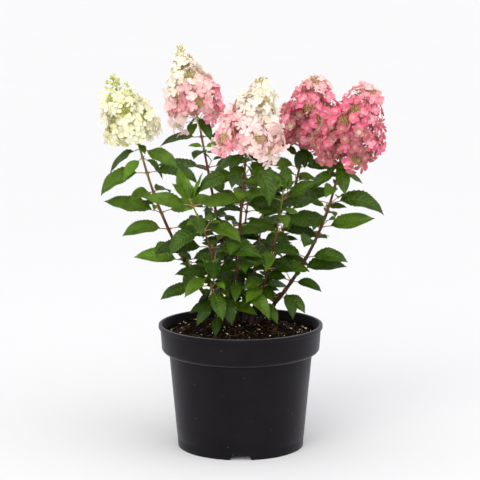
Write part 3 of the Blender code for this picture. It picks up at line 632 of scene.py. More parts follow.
# Leaf stalks and buds, smooth: tan flushed with red, or green near a young tip.
STALK_FINISHES = tuple(
    grown_finish(name, dark, light, patch * MM, 0.8 * MM, 0.08 * MM, rough)
    for name, dark, light, patch, rough in (
        ("leaf_stalk_tan", "#96703f", "#bd9a66", 4, (0.4, 0.6)),
        ("leaf_stalk_red", "#824a30", "#a86f4c", 4, (0.4, 0.6)),
        ("leaf_stalk_green", "#74863a", "#97a155", 4, (0.4, 0.6)),
        ("axil_bud", "#4b3d1d", "#75602f", 2, (0.45, 0.65)),
    )
)
STALK_TAN, STALK_RED, STALK_GREEN, AXIL_BUD = range(4)

# Leaves: satin green above with a fine net of veins, duller and paler beneath.
LEAF_FINISHES = tuple(
    grown_finish(name, dark, light, 14 * MM, 1.3 * MM, 0.12 * MM, rough, level)
    for name, dark, light, rough, level in (
        ("leaf_deep", "#182700", "#213602", (0.36, 0.5), 0.16),
        ("leaf_dark", "#1e3200", "#2b4304", (0.36, 0.5), 0.18),
        ("leaf_mid", "#2a4100", "#385306", (0.36, 0.5), 0.2),
        ("leaf_fresh", "#3b5603", "#4e6b0c", (0.38, 0.52), 0.22),
        ("leaf_young", "#486f0a", "#5d8218", (0.38, 0.52), 0.22),
        ("leaf_vein_dark", "#345013", "#44601f", (0.45, 0.6), 0.12),
        ("leaf_vein", "#47661e", "#5a7a2d", (0.45, 0.6), 0.12),
        ("leaf_vein_young", "#6c8f3a", "#82a34c", (0.45, 0.6), 0.12),
        ("leaf_underside", "#485c2e", "#5c7040", (0.6, 0.75), 0.12),
        ("leaf_underside_vein", "#748352", "#8b9866", (0.6, 0.75), 0.12),
    )
)
FRESH_LEAF, YOUNG_LEAF = 3, 4
VEIN_OF_TONE = (5, 5, 6, 6, 7)
UNDERSIDE, UNDERSIDE_VEIN = 8, 9

# Petals: thin and matt like damp paper. Each tone is a step on, from lime to deep rose,
# and three more are those of old petals.
PETAL_TONES = (
    ("petal_lime", "#dfdc8e", "#e8e5a6"),
    ("petal_cream", "#f2ecbe", "#f6f2d0"),
    ("petal_ivory", "#f9eed2", "#fbf4e0"),
    ("petal_blush", "#fae0d0", "#fce9dd"),
    ("petal_shell", "#fbc8c4", "#fdd5d0"),
    ("petal_pink", "#f9a8ae", "#fcbabd"),
    ("petal_rose", "#f0829a", "#f697aa"),
    ("petal_deep_rose", "#dc5b7c", "#e9728d"),
    ("petal_aged", "#c9bd8e", "#dccfa5"),
    ("petal_dusty", "#bd6c74", "#cd868a"),
    ("petal_russet", "#9c4f55", "#b4656a"),
)
IVORY, ROSE, DEEPEST, AGED, DUSTY, RUSSET = 2, 6, 7, 8, 9, 10
OLD_TONES = (AGED, DUSTY, RUSSET, DEEPEST)
OLD_WEIGHTS = (0.7, 4, 4, 3)
PETAL_FINISHES = tuple(
    grown_finish(name, dark, light, 9 * MM, 1.1 * MM, 0.1 * MM, (0.55, 0.7), 0.25, glow=0.45)
    for name, dark, light in PETAL_TONES
)

# Flower stalks and the small fertile buds between the petals, from green to tan.
HEAD_FINISHES = tuple(
    grown_finish(name, dark, light, patch * MM, 1 * MM, relief * MM, (0.5, 0.65))
    for name, dark, light, patch, relief in (
        ("flower_stalk_green", "#98a03a", "#bcbf58", 5, 0.06),
        ("flower_stalk_tan", "#94833f", "#b8a25e", 5, 0.06),
        ("bud_lime", "#bfc266", "#d9da8c", 3, 0.08),
        ("bud_olive", "#c2b268", "#dcd092", 3, 0.08),
        ("bud_tan", "#b3935a", "#d5bc84", 3, 0.08),
        ("flower_eye", "#d8c68c", "#efe3b4", 2, 0.05),
        ("flower_stalk_straw", "#baa964", "#d6c98c", 5, 0.06),
        ("bud_straw", "#c8ad74", "#e6d4a2", 3, 0.08),
    )
)
STALK_OF_BUD = {"lime": 0, "olive": 6, "straw": 6, "tan": 1}
BUD_FINISH = {"lime": 2, "olive": 3, "straw": 7, "tan": 4}
EYE = 5


# ---------------------------------------------------------------- pieces

def level_way(angle):
    """The level direction at an angle from +X towards +Y."""
    return Vector((math.cos(angle), math.sin(angle), 0))


def two_across(way):
    """Two directions that are square to a way and to each other."""
    side = way.orthogonal().normalized()
    return side, way.cross(side)


def swing(start, end, angle):
    """The way an angle on from start towards end, which is square to it."""
    return start * math.cos(angle) + end * math.sin(angle)


def wander(rng, amount):
    """A small seeded step in any direction."""
    return Vector([rng.gauss(0, amount) for _ in range(3)])


def whole(value, highest):
    """The nearest whole number from 0 to highest."""
    return min(max(round(value), 0), highest)


class Skin:
    """Corners and faces of one piece while it grows, with a finish number per face."""

    def __init__(self):
        self.corners = []
        self.faces = []
        self.finishes = []

    def add(self, corners, faces, finish):
        """Add a form; finish is one number, or a list with one for each face."""
        start = len(self.corners)
        self.corners.extend(corners)
        self.faces.extend([start + i for i in face] for face in faces)
        self.finishes.extend([finish] * len(faces) if isinstance(finish, int) else finish)


def make_piece(name, skin, finishes, nodes, sharp=60):
    """Turn a skin to an object that rides on the root and stands for CAD nodes."""
    mesh = bpy.data.meshes.new(name)
    mesh.from_pydata(skin.corners, [], skin.faces)
    for finish in finishes:
        mesh.materials.append(finish)
    mesh.polygons.foreach_set("material_index", skin.finishes)
    mesh.shade_smooth()
    mesh.set_sharp_from_angle(angle=math.radians(sharp))
    made = bpy.data.objects.new(name, mesh)
    bpy.context.scene.collection.objects.link(made)
    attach(made, "root")
    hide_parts(*nodes)
    return made


def ring(centre, normal, radius, sides):
    """Corners of a regular ring square to normal, starting nearest +X."""
    side = Vector((1, 0, 0)) - normal * normal.x
    lies_along_x = side.length < 0.05
    if lies_along_x:
        side = Vector((0, 1, 0)) - normal * normal.y
    side.normalize()
    up = normal.cross(side)
    corners = []
    for i in range(sides):
        angle = 2 * math.pi * i / sides
        corners.append(centre + radius * swing(side, up, angle))
    return corners


def tube(rings):
    """A closed tube through rings of corners, with flat ends."""
    sides = len(rings[0])
    corners = [corner for each in rings for corner in each]
    faces = [list(reversed(range(sides)))]
    for k in range(len(rings) - 1):
        for i in range(sides):
            j = (i + 1) % sides
            low, high = k * sides, (k + 1) * sides
            faces.append([low + i, low + j, high + j, high + i])
    faces.append([(len(rings) - 1) * sides + i for i in range(sides)])
    return corners, faces


def twig(points, radii, sides):
    """A closed tube along points, as thick at each as radii says."""
    rings = []
    for k, (point, radius) in enumerate(zip(points, radii)):
        ahead = points[min(k + 1, len(points) - 1)]
        behind = points[max(k - 1, 0)]
        rings.append(ring(point, (ahead - behind).normalized(), radius, sides))
    return tube(rings)


def unit_bead(levels):
    """Corners and faces of a bead of radius 1; level 1 has 20 faces and 2 has 80."""
    shape = bmesh.new()
    bmesh.ops.create_icosphere(shape, subdivisions=levels, radius=1)
    corners = [vert.co.copy() for vert in shape.verts]
    faces = [[vert.index for vert in face.verts] for face in shape.faces]
    shape.free()
    return corners, faces


BEADS = {1: unit_bead(1), 2: unit_bead(2)}


def bead(centre, radius, levels=1):
    """A small bead of 20 faces, or of 80 at level 2."""
    corners, faces = BEADS[levels]
    return [centre + corner * radius for corner in corners], faces


# ---------------------------------------------------------------- pot

def body_radius(height):
    """Outer radius of the tapering body between the skirt and the collar."""
    share = (height - SKIRT_HEIGHT) / (BODY_TOP - SKIRT_HEIGHT)
    return BODY_FOOT_RADIUS + (BODY_TOP_RADIUS - BODY_FOOT_RADIUS) * share


def arc(centre, radius, start, end, steps):
    """Points of (radius, height) on an arc between two angles in degrees."""
    points = []
    for i in range(steps + 1):
        angle = math.radians(start + (end - start) * i / steps)
        points.append((centre[0] + radius * math.cos(angle), centre[1] + radius * math.sin(angle)))
    return points


def pot_outside():
    """Down the outside of the pot: rolled lip, collar, step, body and skirt."""
    lip_foot = POT_HEIGHT - LIP_HEIGHT
    rows_on_collar = 5
    rows_on_round = 8
    rows_on_body = 8
    points = arc((LIP_RADIUS - LIP_ROUND, POT_HEIGHT - LIP_ROUND), LIP_ROUND, 90, 0, 5)
    points += [(LIP_RADIUS, lip_foot + 0.6 * MM), (LIP_RADIUS - 0.4 * MM, lip_foot)]
    points += [(COLLAR_TOP_RADIUS + 0.5 * MM, lip_foot - 0.5 * MM),
               (COLLAR_TOP_RADIUS, lip_foot - 1 * MM)]
    for i in range(1, rows_on_collar):
        share = i / rows_on_collar
        points.append((COLLAR_TOP_RADIUS + (COLLAR_FOOT_RADIUS - COLLAR_TOP_RADIUS) * share,
                       lip_foot - (lip_foot - COLLAR_FOOT) * share))
    for i in range(rows_on_round + 1):
        angle = math.pi / 2 * i / rows_on_round
        radius = BODY_TOP_RADIUS + (COLLAR_FOOT_RADIUS - BODY_TOP_RADIUS) * math.cos(angle)
        points.append((radius, COLLAR_FOOT - COLLAR_ROUND * math.sin(angle)))
    points.append((body_radius(BODY_TOP - 2 * MM), BODY_TOP - 2 * MM))
    for i in range(1, rows_on_body + 1):
        height = BODY_TOP + (SKIRT_HEIGHT + 2 * MM - BODY_TOP) * i / rows_on_body
        points.append((body_radius(height), height))
    points += [(SKIRT_RADIUS + 0.15 * MM, SKIRT_HEIGHT + 0.5 * MM), (SKIRT_RADIUS, SKIRT_HEIGHT),
               (SKIRT_RADIUS, SKIRT_HEIGHT - 5 * MM)]
    return points


def pot_foot():
    """The skirt's foot and the underside; True marks a ring that the notches lift."""
    skirt_inner = SKIRT_RADIUS - SKIRT_WALL
    return [
        (SKIRT_RADIUS, 1.5 * MM, True),
        (SKIRT_RADIUS - 0.4 * MM, 0.4 * MM, True),
        (SKIRT_RADIUS - 1.2 * MM, 0, True),
        (skirt_inner + 0.3 * MM, 0, True),
        (skirt_inner, 0.4 * MM, True),
        (skirt_inner, FLOOR_LIFT, False),
        (DISH_RADIUS + DISH_SLOPE, FLOOR_LIFT, False),
        (DISH_RADIUS, 0, False),
        (0, 0, False),
    ]


def pot_inside():
    """Up the inside of the pot, from the middle of its floor to the lip."""
    mouth = LIP_RADIUS - LIP_ROUND - 2 * POT_WALL
    return [
        (0, POT_WALL),
        (DISH_RADIUS - POT_WALL, POT_WALL),
        (DISH_RADIUS + DISH_SLOPE - POT_WALL, INNER_FLOOR),
        (body_radius(INNER_FLOOR) - POT_WALL, INNER_FLOOR),
        (BODY_TOP_RADIUS - POT_WALL, BODY_TOP),
        (COLLAR_FOOT_RADIUS - POT_WALL, COLLAR_FOOT),
        (mouth - 0.1 * MM, POT_HEIGHT - 1.5 * MM),
        (mouth, POT_HEIGHT - 1 * MM),
        (mouth + 0.2 * MM, POT_HEIGHT - 0.4 * MM),
        (mouth + 0.8 * MM, POT_HEIGHT),
    ]


def notch_lift(angle):
    """How high the skirt's foot stands at an angle round the pot."""
    spacing = 2 * math.pi / NOTCH_COUNT
    away = (angle + math.pi / 2 + spacing / 2) % spacing - spacing / 2
    reach = abs(away) * SKIRT_RADIUS
    slope = (NOTCH_FOOT_WIDTH - NOTCH_TOP_WIDTH) / 2
    share = (NOTCH_FOOT_WIDTH / 2 - reach) / slope
    return NOTCH_HEIGHT * min(max(share, 0), 1)


def pot_angles():
    """Angles of the pot's sides, with one at each corner of a notch."""
    angles = [2 * math.pi * i / POT_SIDES for i in range(POT_SIDES)]
    for k in range(NOTCH_COUNT):
        middle = 2 * math.pi * k / NOTCH_COUNT - math.pi / 2
        for half in (NOTCH_TOP_WIDTH / 2, NOTCH_FOOT_WIDTH / 2):
            for way in (-1, 1):
                corner = (middle + way * half / SKIRT_RADIUS) % (2 * math.pi)
                nearest = min(range(len(angles)), key=lambda i: abs(angles[i] - corner))
                angles[nearest] = corner
    return sorted(angles)


def turned_pot():
    """The pot's skin, turned from its profile, with the notches lifted into its foot."""
    outside = [(radius, height, False) for radius, height in pot_outside()]
    inside = [(radius, height, False) for radius, height in pot_inside()]
    profile = outside + pot_foot() + inside
    angles = pot_angles()
    corners = []
    rings = []
    for radius, height, lifts in profile:
        if radius == 0:
            rings.append([len(corners)] * len(angles))
            corners.append(Vector((0, 0, height)))
            continue
        rings.append(list(range(len(corners), len(corners) + len(angles))))
        for angle in angles:
            z = height + notch_lift(angle) if lifts else height
            corners.append(Vector((radius * math.cos(angle), radius * math.sin(angle), z)))
    faces = []
    finishes = []
    # The rounded top of the lip and the rim of the mouth take the paler finish.
    pale_rows = set(range(5)) | {len(rings) - 2, len(rings) - 1}
    for k, upper in enumerate(rings):
        lower = rings[(k + 1) % len(rings)]
        for i in range(len(angles)):
            j = (i + 1) % len(angles)
            face = list(dict.fromkeys([upper[i], lower[i], lower[j], upper[j]]))
            if len(face) > 2:
                faces.append(face)
                finishes.append(PALE_LIP if k in pale_rows else WALL_BLACK)
    skin = Skin()
    skin.add(corners, faces, finishes)
    return skin


def drain_cutter():
    """A ring of upright pins, one through the floor at each drain hole."""
    past = 2 * MM
    skin = Skin()
    for k in range(DRAIN_COUNT):
        angle = 2 * math.pi * (k + 0.5) / DRAIN_COUNT
        middle = Vector((DRAIN_RING * math.cos(angle), DRAIN_RING * math.sin(angle), 0))
        ends = [middle + UP * (FLOOR_LIFT - past), middle + UP * (INNER_FLOOR + past)]
        skin.add(*tube([ring(end, UP, DRAIN_RADIUS, 24) for end in ends]), WALL_BLACK)
    mesh = bpy.data.meshes.new("drains")
    mesh.from_pydata(skin.corners, [], skin.faces)
    cutter = bpy.data.objects.new("drains", mesh)
    bpy.context.scene.collection.objects.link(cutter)
    return cutter


def cut_drains(pot):
    """Cut the ring of drain holes through the pot's floor."""
    cutter = drain_cutter()
    cut = pot.modifiers.new("drains", "BOOLEAN")
    cut.solver = "EXACT"
    cut.object = cutter
    depsgraph = bpy.context.evaluated_depsgraph_get()
    result = bpy.data.meshes.new_from_object(pot.evaluated_get(depsgraph))
    pot.modifiers.clear()
    pot.data = result
    bpy.data.objects.remove(cutter, do_unlink=True)


def build_pot():
    """The pot as one piece, with its drain holes cut."""
    pot = make_piece("pot_shell", turned_pot(), POT_FINISHES, ["pot"], sharp=34)
    cut_drains(pot)


# ---------------------------------------------------------------- potting mix

def inner_radius(height):
    """Radius of the pot's inner wall at a height above its raised floor."""
    if height <= BODY_TOP:
        low, high = INNER_FLOOR, BODY_TOP
        start, end = body_radius(low), BODY_TOP_RADIUS
    elif height <= COLLAR_FOOT:
        low, high = BODY_TOP, COLLAR_FOOT
        start, end = BODY_TOP_RADIUS, COLLAR_FOOT_RADIUS
    else:
        low, high = COLLAR_FOOT, POT_HEIGHT - 1 * MM
        start, end = COLLAR_FOOT_RADIUS, LIP_RADIUS - LIP_ROUND - POT_WALL
    share = (height - low) / (high - low)
    return start + (end - start) * share - POT_WALL


def soil_height(x, y):
    """Height of the mix: a low mound with lumps of three sizes and raised cane feet."""
    radius = math.hypot(x, y)
    edge = inner_radius(SOIL_EDGE)
    share = min(max((radius - SOIL_CROWN_RADIUS) / (edge - SOIL_CROWN_RADIUS), 0), 1)
    height = SOIL_CROWN + (SOIL_EDGE - SOIL_CROWN) * (0.5 - 0.5 * math.cos(math.pi * share))
    for size, depth in SOIL_LUMPS:
        height += depth * noise.noise(Vector((x / size, y / size, depth / MM)))
    for stem in STEMS:
        away = math.hypot(x - stem.foot.x, y - stem.foot.y) / FOOT_MOUND_RADIUS
        height += FOOT_MOUND_HEIGHT * math.exp(-away * away)
    return height


def on_mix(x, y, lift=0.0):
    """A point on the mix, or lifted off it."""
    return Vector((x, y, soil_height(x, y) + lift))


def soil_bed():
    """The plug of mix that fills the pot, lumpy on top and plain where it is hidden."""
    corners = [on_mix(0, 0)]
    edge = inner_radius(SOIL_EDGE) - 0.2 * MM
    rows = [(edge * ((k + 1) / SOIL_RINGS), None) for k in range(SOIL_RINGS)]
    for height in (COLLAR_FOOT, BODY_TOP, INNER_FLOOR + JOINT_GAP):
        rows.append((inner_radius(height) - 0.5 * MM, height))
    for radius, height in rows:
        for i in range(SOIL_SIDES):
            angle = 2 * math.pi * i / SOIL_SIDES
            x, y = radius * math.cos(angle), radius * math.sin(angle)
            corners.append(on_mix(x, y) if height is None else Vector((x, y, height)))
    faces = [[0, 1 + i, 1 + (i + 1) % SOIL_SIDES] for i in range(SOIL_SIDES)]
    for k in range(len(rows) - 1):
        for i in range(SOIL_SIDES):
            j = (i + 1) % SOIL_SIDES
            near, far = 1 + k * SOIL_SIDES, 1 + (k + 1) * SOIL_SIDES
            faces.append([near + i, far + i, far + j, near + j])
    last = 1 + (len(rows) - 1) * SOIL_SIDES
    faces.append([last + i for i in reversed(range(SOIL_SIDES))])
    skin = Skin()
    skin.add(corners, faces, PEAT)
    return skin


def spin(rng, squash):
    """A seeded turn of a form squashed to the three sizes of squash."""
    slant = 0.45
    turn = Matrix.Rotation(rng.uniform(0, 2 * math.pi), 3, "Z")
    tilt = Matrix.Rotation(rng.gauss(0, slant), 3, "X") @ Matrix.Rotation(rng.gauss(0, slant), 3, "Y")
    return turn @ tilt @ Matrix.Diagonal(squash)


def scatter(rng, spread=1.0):
    """A seeded spot on the mix, inside the pot's wall and clear of it."""
    edge = inner_radius(SOIL_EDGE) - WALL_CLEARANCE
    radius = edge * math.sqrt(rng.random()) * spread
    angle = rng.uniform(0, 2 * math.pi)
    return on_mix(radius * math.cos(angle), radius * math.sin(angle))


def loose_size(rng, mean, spread, most):
    """Radius of a chip or grain, by a log-normal chance in millimetres."""
    return min(rng.lognormvariate(mean, spread), most) * MM


def torn_chip(rng, place, size):
    """A torn chip or grain, flatter than it is wide, with its middle at place."""
    turn = spin(rng, (1, rng.uniform(0.35, 0.8), rng.uniform(0.18, 0.4)))
    corners, faces = bead(Vector(), 1, levels=2 if size > BIG_CHIP else 1)
    key = rng.uniform(0, 50)
    rough = []
    for corner in corners:
        shift = 1 + CHIP_ROUGHNESS * noise.noise(corner * 1.7 + Vector((key, key, 0)))
        rough.append(place + turn @ (corner * shift) * size)
    return rough, faces


def bark_chips(rng):
    """Chips of bark, half sunk in the mix; the palest are small."""
    skin = Skin()
    for _ in range(CHIP_COUNT):
        size = loose_size(rng, *CHIP_SIZE)
        tone = rng.choices(CHIP_TONES, CHIP_WEIGHTS)[0]
        if tone == CHIP_TAN:
            size = min(size, TAN_CHIP_MOST)
        skin.add(*torn_chip(rng, scatter(rng) + UP * size * CHIP_LIFT, size), tone)
    return skin


def perlite_grains(rng):
    """White grains on the mix, strewn all over and again, thicker, near the edge."""
    skin = Skin()
    for _ in range(GRAIN_COUNT):
        size = loose_size(rng, *GRAIN_SIZE)
        skin.add(*torn_chip(rng, scatter(rng) + UP * size * GRAIN_LIFT, size), PERLITE)
    for _ in range(EDGE_GRAIN_COUNT):
        spot = scatter(rng)
        way = Vector((spot.x, spot.y, 0)).normalized() * rng.uniform(*EDGE_GRAIN_RING)
        size = loose_size(rng, *GRAIN_SIZE)
        skin.add(*torn_chip(rng, on_mix(way.x, way.y, size * GRAIN_LIFT), size), PERLITE)
    return skin


def fibre_path(rng):
    """Points of a bent fibre that lies on the mix and stops at the pot's wall."""
    steps = 6
    start = scatter(rng, 0.92)
    heading = rng.uniform(0, 2 * math.pi)
    length = rng.uniform(*FIBRE_LENGTH) * MM
    bend = rng.uniform(-FIBRE_BEND, FIBRE_BEND)
    x, y = start.x, start.y
    points = []
    for k in range(steps + 1):
        if points:
            step = level_way(heading + bend * k / steps) * length / steps
            x, y = points[-1].x + step.x, points[-1].y + step.y
        if math.hypot(x, y) > inner_radius(SOIL_EDGE) - WALL_CLEARANCE / 2:
            break
        points.append(on_mix(x, y, 1.4 * MM + rng.uniform(-0.4, 0.8) * MM))
    return points


def coir_fibres(rng):
    """Thin fibres and shreds of bark on the mix."""
    skin = Skin()
    for _ in range(FIBRE_COUNT):
        points = fibre_path(rng)
        if len(points) > 3:
            radius = rng.uniform(*FIBRE_RADIUS) * MM
            radii = [radius * (1 - 0.6 * k / len(points)) for k in range(len(points))]
            skin.add(*twig(points, radii, 5), rng.choice(FIBRE_TONES))
    return skin


def build_soil():
    """The mix, and the three kinds of loose matter that lie on it."""
    nodes = ["soil"]
    make_piece("soil_bed", soil_bed(), SOIL_FINISHES, nodes, sharp=80)
    rng = random.Random(f"{LOOK_SEED} soil")
    make_piece("soil_bark_chips", bark_chips(rng), SOIL_FINISHES, nodes, sharp=50)
    make_piece("soil_perlite_grains", perlite_grains(rng), SOIL_FINISHES, nodes, sharp=50)
    make_piece("soil_fibres", coir_fibres(rng), SOIL_FINISHES, nodes)


# ---------------------------------------------------------------- canes

def bark_step(stem, share, wobble):
    """Number of the bark finish at a share of a stem: old bark with painted shade at the foot, green
    at the tip.
    """
    greener = 0.0
    if not stem.bloom:
        greener = 2.2
    elif stem.name == "left":
        greener = 1.6
    # foot starts the step on the darkest finishes, which paint the shade round the cane's foot.
    foot, redder = 0.3, 3.4
    step = foot + redder * share ** 1.4 + greener * share ** 3 + wobble
    return whole(step, len(BARK_FINISHES) - 1)


def cane_ring(stem, share, key):
    """Corners round a stem at a share of its length, raised in ridges that run along it."""
    if share < 0:
        centre = stem.point(0) + UP * share * stem.length
        normal = UP
    else:
        centre = stem.point(share)
        normal = stem.direction(share)
    along = share * stem.length / RIDGE_LENGTH
    corners = ring(centre, normal, stem.radius(share), CANE_SIDES)
    for i, corner in enumerate(corners):
        ridge = noise.noise(Vector((i * RIDGE_PITCH + key, along, key)))
        corners[i] = corner + (corner - centre).normalized() * ridge * RIDGE_DEPTH
    return corners


def build_cane(stem):
    """The whole stem from inside the mix to its tip, swollen at each pair of leaves."""
    key = STEMS.index(stem) * 7.3
    sink = CANE_SINK / stem.length
    steps = round((1 + sink) * stem.length / CANE_STEP)
    shares = [-sink + (1 + sink) * k / steps for k in range(steps + 1)]
    finishes = [0]
    for share in shares[:-1]:
        for i in range(CANE_SIDES):
            wobble = 0.55 * noise.noise(Vector((i * 0.9, share * 14, key)))
            finishes.append(bark_step(stem, max(share, 0), wobble))
    finishes.append(finishes[-1])
    skin = Skin()
    skin.add(*tube([cane_ring(stem, share, key) for share in shares]), finishes)
    nodes = [f"cane_{stem.name}", f"leaves_{stem.name}"]
    make_piece(f"cane_wood_{stem.name}", skin, BARK_FINISHES, nodes, sharp=80)


# ---------------------------------------------------------------- leaves

class Leaf:
    """One leaf: where its stalk starts, how it lies, and how its blade is formed."""

    def __init__(self, root, heading, rise, droop, blade, rng, stalk_share=STALK_LENGTH,
                 back_line=BACK_LINE):
        self.root = root
        self.out = level_way(math.radians(heading))
        self.across = Vector((-self.out.y, self.out.x, 0))
        self.rise = math.radians(rise)
        self.droop = math.radians(droop)
        self.blade = blade
        along = swing(self.out, UP, self.rise)
        self.neck = root + along * stalk_share * blade
        up = along.cross(self.across)
        light = BACK_LIGHT if root.y > back_line else LIGHT
        roll = math.atan2(light.dot(self.across), light.dot(up)) * ROLL_SHARE
        self.roll = max(-ROLL_LIMIT, min(ROLL_LIMIT, roll))
        self.twist = math.radians(rng.uniform(*LEAF_TWIST))
        self.fold = math.radians(rng.uniform(*LEAF_FOLD))
        self.curl = math.radians(rng.uniform(*LEAF_CURL))
        self.bow = rng.uniform(*LEAF_BOW)
        self.wave = rng.uniform(*LEAF_WAVE)
        self.wave_count = rng.uniform(*LEAF_WAVE_COUNT)
        self.wave_start = rng.uniform(0, 2 * math.pi)
        self.quilt = rng.uniform(*LEAF_QUILT)
        self.slim = rng.uniform(*LEAF_SLIM)
        self.veins = LEAST_VEINS + (blade >= SHORT_BLADE) + (blade >= LONG_BLADE)

    def solid_tip(self):
        """Where the tip of this leaf's solid is, by its three straight lengths."""
        place = self.neck
        last = 0
        for share in LEAF_STATIONS:
            pitch = self.rise - self.droop * (last + share) / 2
            place = place + swing(self.out, UP, pitch) * self.blade * (share - last)
            last = share
        return place

    def spine(self, share):
        """Middle of the blade at a share of its length, its side way and its top way."""
        pitch = self.rise - self.droop * share
        is_straight = abs(self.droop) < 1e-3
        if is_straight:
            reach, lift = share * math.cos(self.rise), share * math.sin(self.rise)
        else:
            reach = (math.sin(self.rise) - math.sin(pitch)) / self.droop
            lift = (math.cos(pitch) - math.cos(self.rise)) / self.droop
        place = self.neck + (self.out * reach + UP * lift) * self.blade
        up = swing(self.out, UP, pitch).cross(self.across)
        roll = self.roll * min(1, share / 0.14) + self.twist * (share - 0.4)
        side = swing(self.across, -up, roll)
        top = swing(up, self.across, roll)
        place = place + side * self.bow * self.blade * math.sin(math.pi * share)
        return place, side, top

    def half_width(self, share):
        """Half the blade's width at a share of its length: oval with a drawn-out tip."""
        oval = math.sin(math.pi * min(max(share, 0), 1) ** 0.77) ** 0.93
        past = (share - (1 - DRIP_TIP)) / DRIP_TIP
        if past > 0:
            oval *= 1 - 0.5 * past
        return LEAF_WIDTH * self.blade / 2 * self.slim * oval

    def rows(self):
        """Rows of the blade: (share at the midrib, tooth, quilting, whether a vein)."""
        rows = [(0.0, 0, 0, False), (0.02, 0, 0, False)]
        for k in range(self.veins):
            start = VEIN_FIRST + VEIN_SPAN * (k / self.veins) ** 0.94
            step = VEIN_FIRST + VEIN_SPAN * ((k + 1) / self.veins) ** 0.94 - start
            rows += [(start - VEIN_HALF, 0.4, 0, True), (start + VEIN_HALF, 1.0, 0, False)]
            for share, tooth, quilt in BETWEEN_VEINS:
                rows.append((start + step * share, tooth, quilt, False))
        rows += [(0.875, 0.5, 0, False), (0.93, -0.2, 0, False), (0.97, 0, 0, False)]
        return rows

    def surface(self, share, column, tooth, quilt):
        """A point on the top of the blade and the way to its top there."""
        way = 1 if column > 0 else -1
        part = abs(column)
        lead = VEIN_LEAD * math.sin(math.pi * share ** 0.85)
        at = share + lead * part ** 1.25
        place, side, top = self.spine(at)
        half = self.half_width(share + lead)
        if part == 1 and tooth:
            half += tooth * TOOTH_DEPTH * LEAF_WIDTH * self.blade
        reach = max(half, 0.3 * MM) * part
        fold = self.fold - self.curl * part / 2
        height = 0
        if quilt:
            height = self.quilt * self.blade * quilt * (4 * part * (1 - part)) ** 0.6
        start = self.wave_start * (1 if way > 0 else 2)
        wave = math.sin(2 * math.pi * self.wave_count * at + start)
        height += self.wave * self.blade * wave * part * part * min(1, 4 * half / self.blade)
        point = place + side * way * reach * math.cos(fold) + top * (reach * math.sin(fold) + height)
        return point, top

    def row_corners(self, share, tooth, quilt, vein):
        """Corners of one row: eight across the top, then six across the underside."""
        rib = MIDRIB_HALF * (1 - MIDRIB_TAPER * share) * min(1, self.blade / FULL_RIB_BLADE)
        rib = min(rib, self.half_width(share + 0.01) * 0.3 + 0.15 * MM)
        upper = []
        lower = []
        for k, column in enumerate(LEAF_COLUMNS):
            if column == 0:
                place, side, top = self.spine(share)
                way = -1 if k == MIDRIB_COLUMN else 1
                point = place + side * way * rib + top * rib * math.sin(self.fold)
                thick = LEAF_THICKNESS + KEEL * (1 - KEEL_TAPER * share)
            else:
                point, top = self.surface(share, column, tooth, quilt)
                thick = LEAF_THICKNESS + (VEIN_KEEL if vein else 0)
            upper.append(point)
            if abs(column) < 1:
                lower.append(point - top * thick)
        return upper + lower

    def build(self, skin, tone):
        """Add the blade to a skin, toothed at its margin and thin but closed."""
        vein = VEIN_OF_TONE[tone]
        rows = self.rows()
        corners = []
        for share, tooth, quilt, is_vein in rows:
            corners += self.row_corners(share, tooth, quilt, is_vein)
        tip = len(corners)
        corners.append(self.spine(1.0)[0])
        across = len(LEAF_COLUMNS)
        per_row = 2 * across - 2
        below = [0] + list(range(across, per_row)) + [across - 1]
        faces = [list(range(across)) + list(range(per_row - 1, across - 1, -1))]
        finishes = [vein]
        for k, row in enumerate(rows):
            near = k * per_row
            far = near + per_row
            for j in range(across - 1):
                low, lower = near + below[j], near + below[j + 1]
                if k == len(rows) - 1:
                    faces.append([near + j, tip, near + j + 1])
                    faces.append([lower, tip, low])
                else:
                    faces.append([near + j, far + j, far + j + 1, near + j + 1])
                    faces.append([lower, far + below[j + 1], far + below[j], low])
                inside = 0 < j < across - 2
                marked = j == MIDRIB_COLUMN or (row[3] and inside)
                finishes.append(vein if marked else tone)
                finishes.append(UNDERSIDE_VEIN if marked else UNDERSIDE)
        skin.add(corners, faces, finishes)

    def stalk(self, skin, tone):
        """Add the stalk, thicker and clasping at its root, that runs on to the midrib."""
        steps = 5
        arch = UP * (self.neck - self.root).length * STALK_ARCH
        thick = STALK_RADIUS * min(1, 0.45 + self.blade / (110 * MM))
        points = []
        radii = []
        for k in range(steps + 1):
            share = k / steps
            points.append(self.root.lerp(self.neck, share) + arch * math.sin(math.pi * share))
            clasp = STALK_CLASP * math.exp(-7 * share)
            radii.append(thick * (1 - STALK_TAPER * share + clasp))
        place, _, top = self.spine(0.035)
        points.append(place - top * LEAF_THICKNESS)
        radii.append(thick / 2)
        skin.add(*twig(points, radii, 7), tone)

    def probe(self):
        """Points over the blade, to see whether it lies clear of what is near."""
        points = []
        for share in (0.15, 0.35, 0.55, 0.75, 1.0):
            place, side, _ = self.spine(share)
            half = self.half_width(share)
            points += [place, place + side * half, place - side * half]
        return points


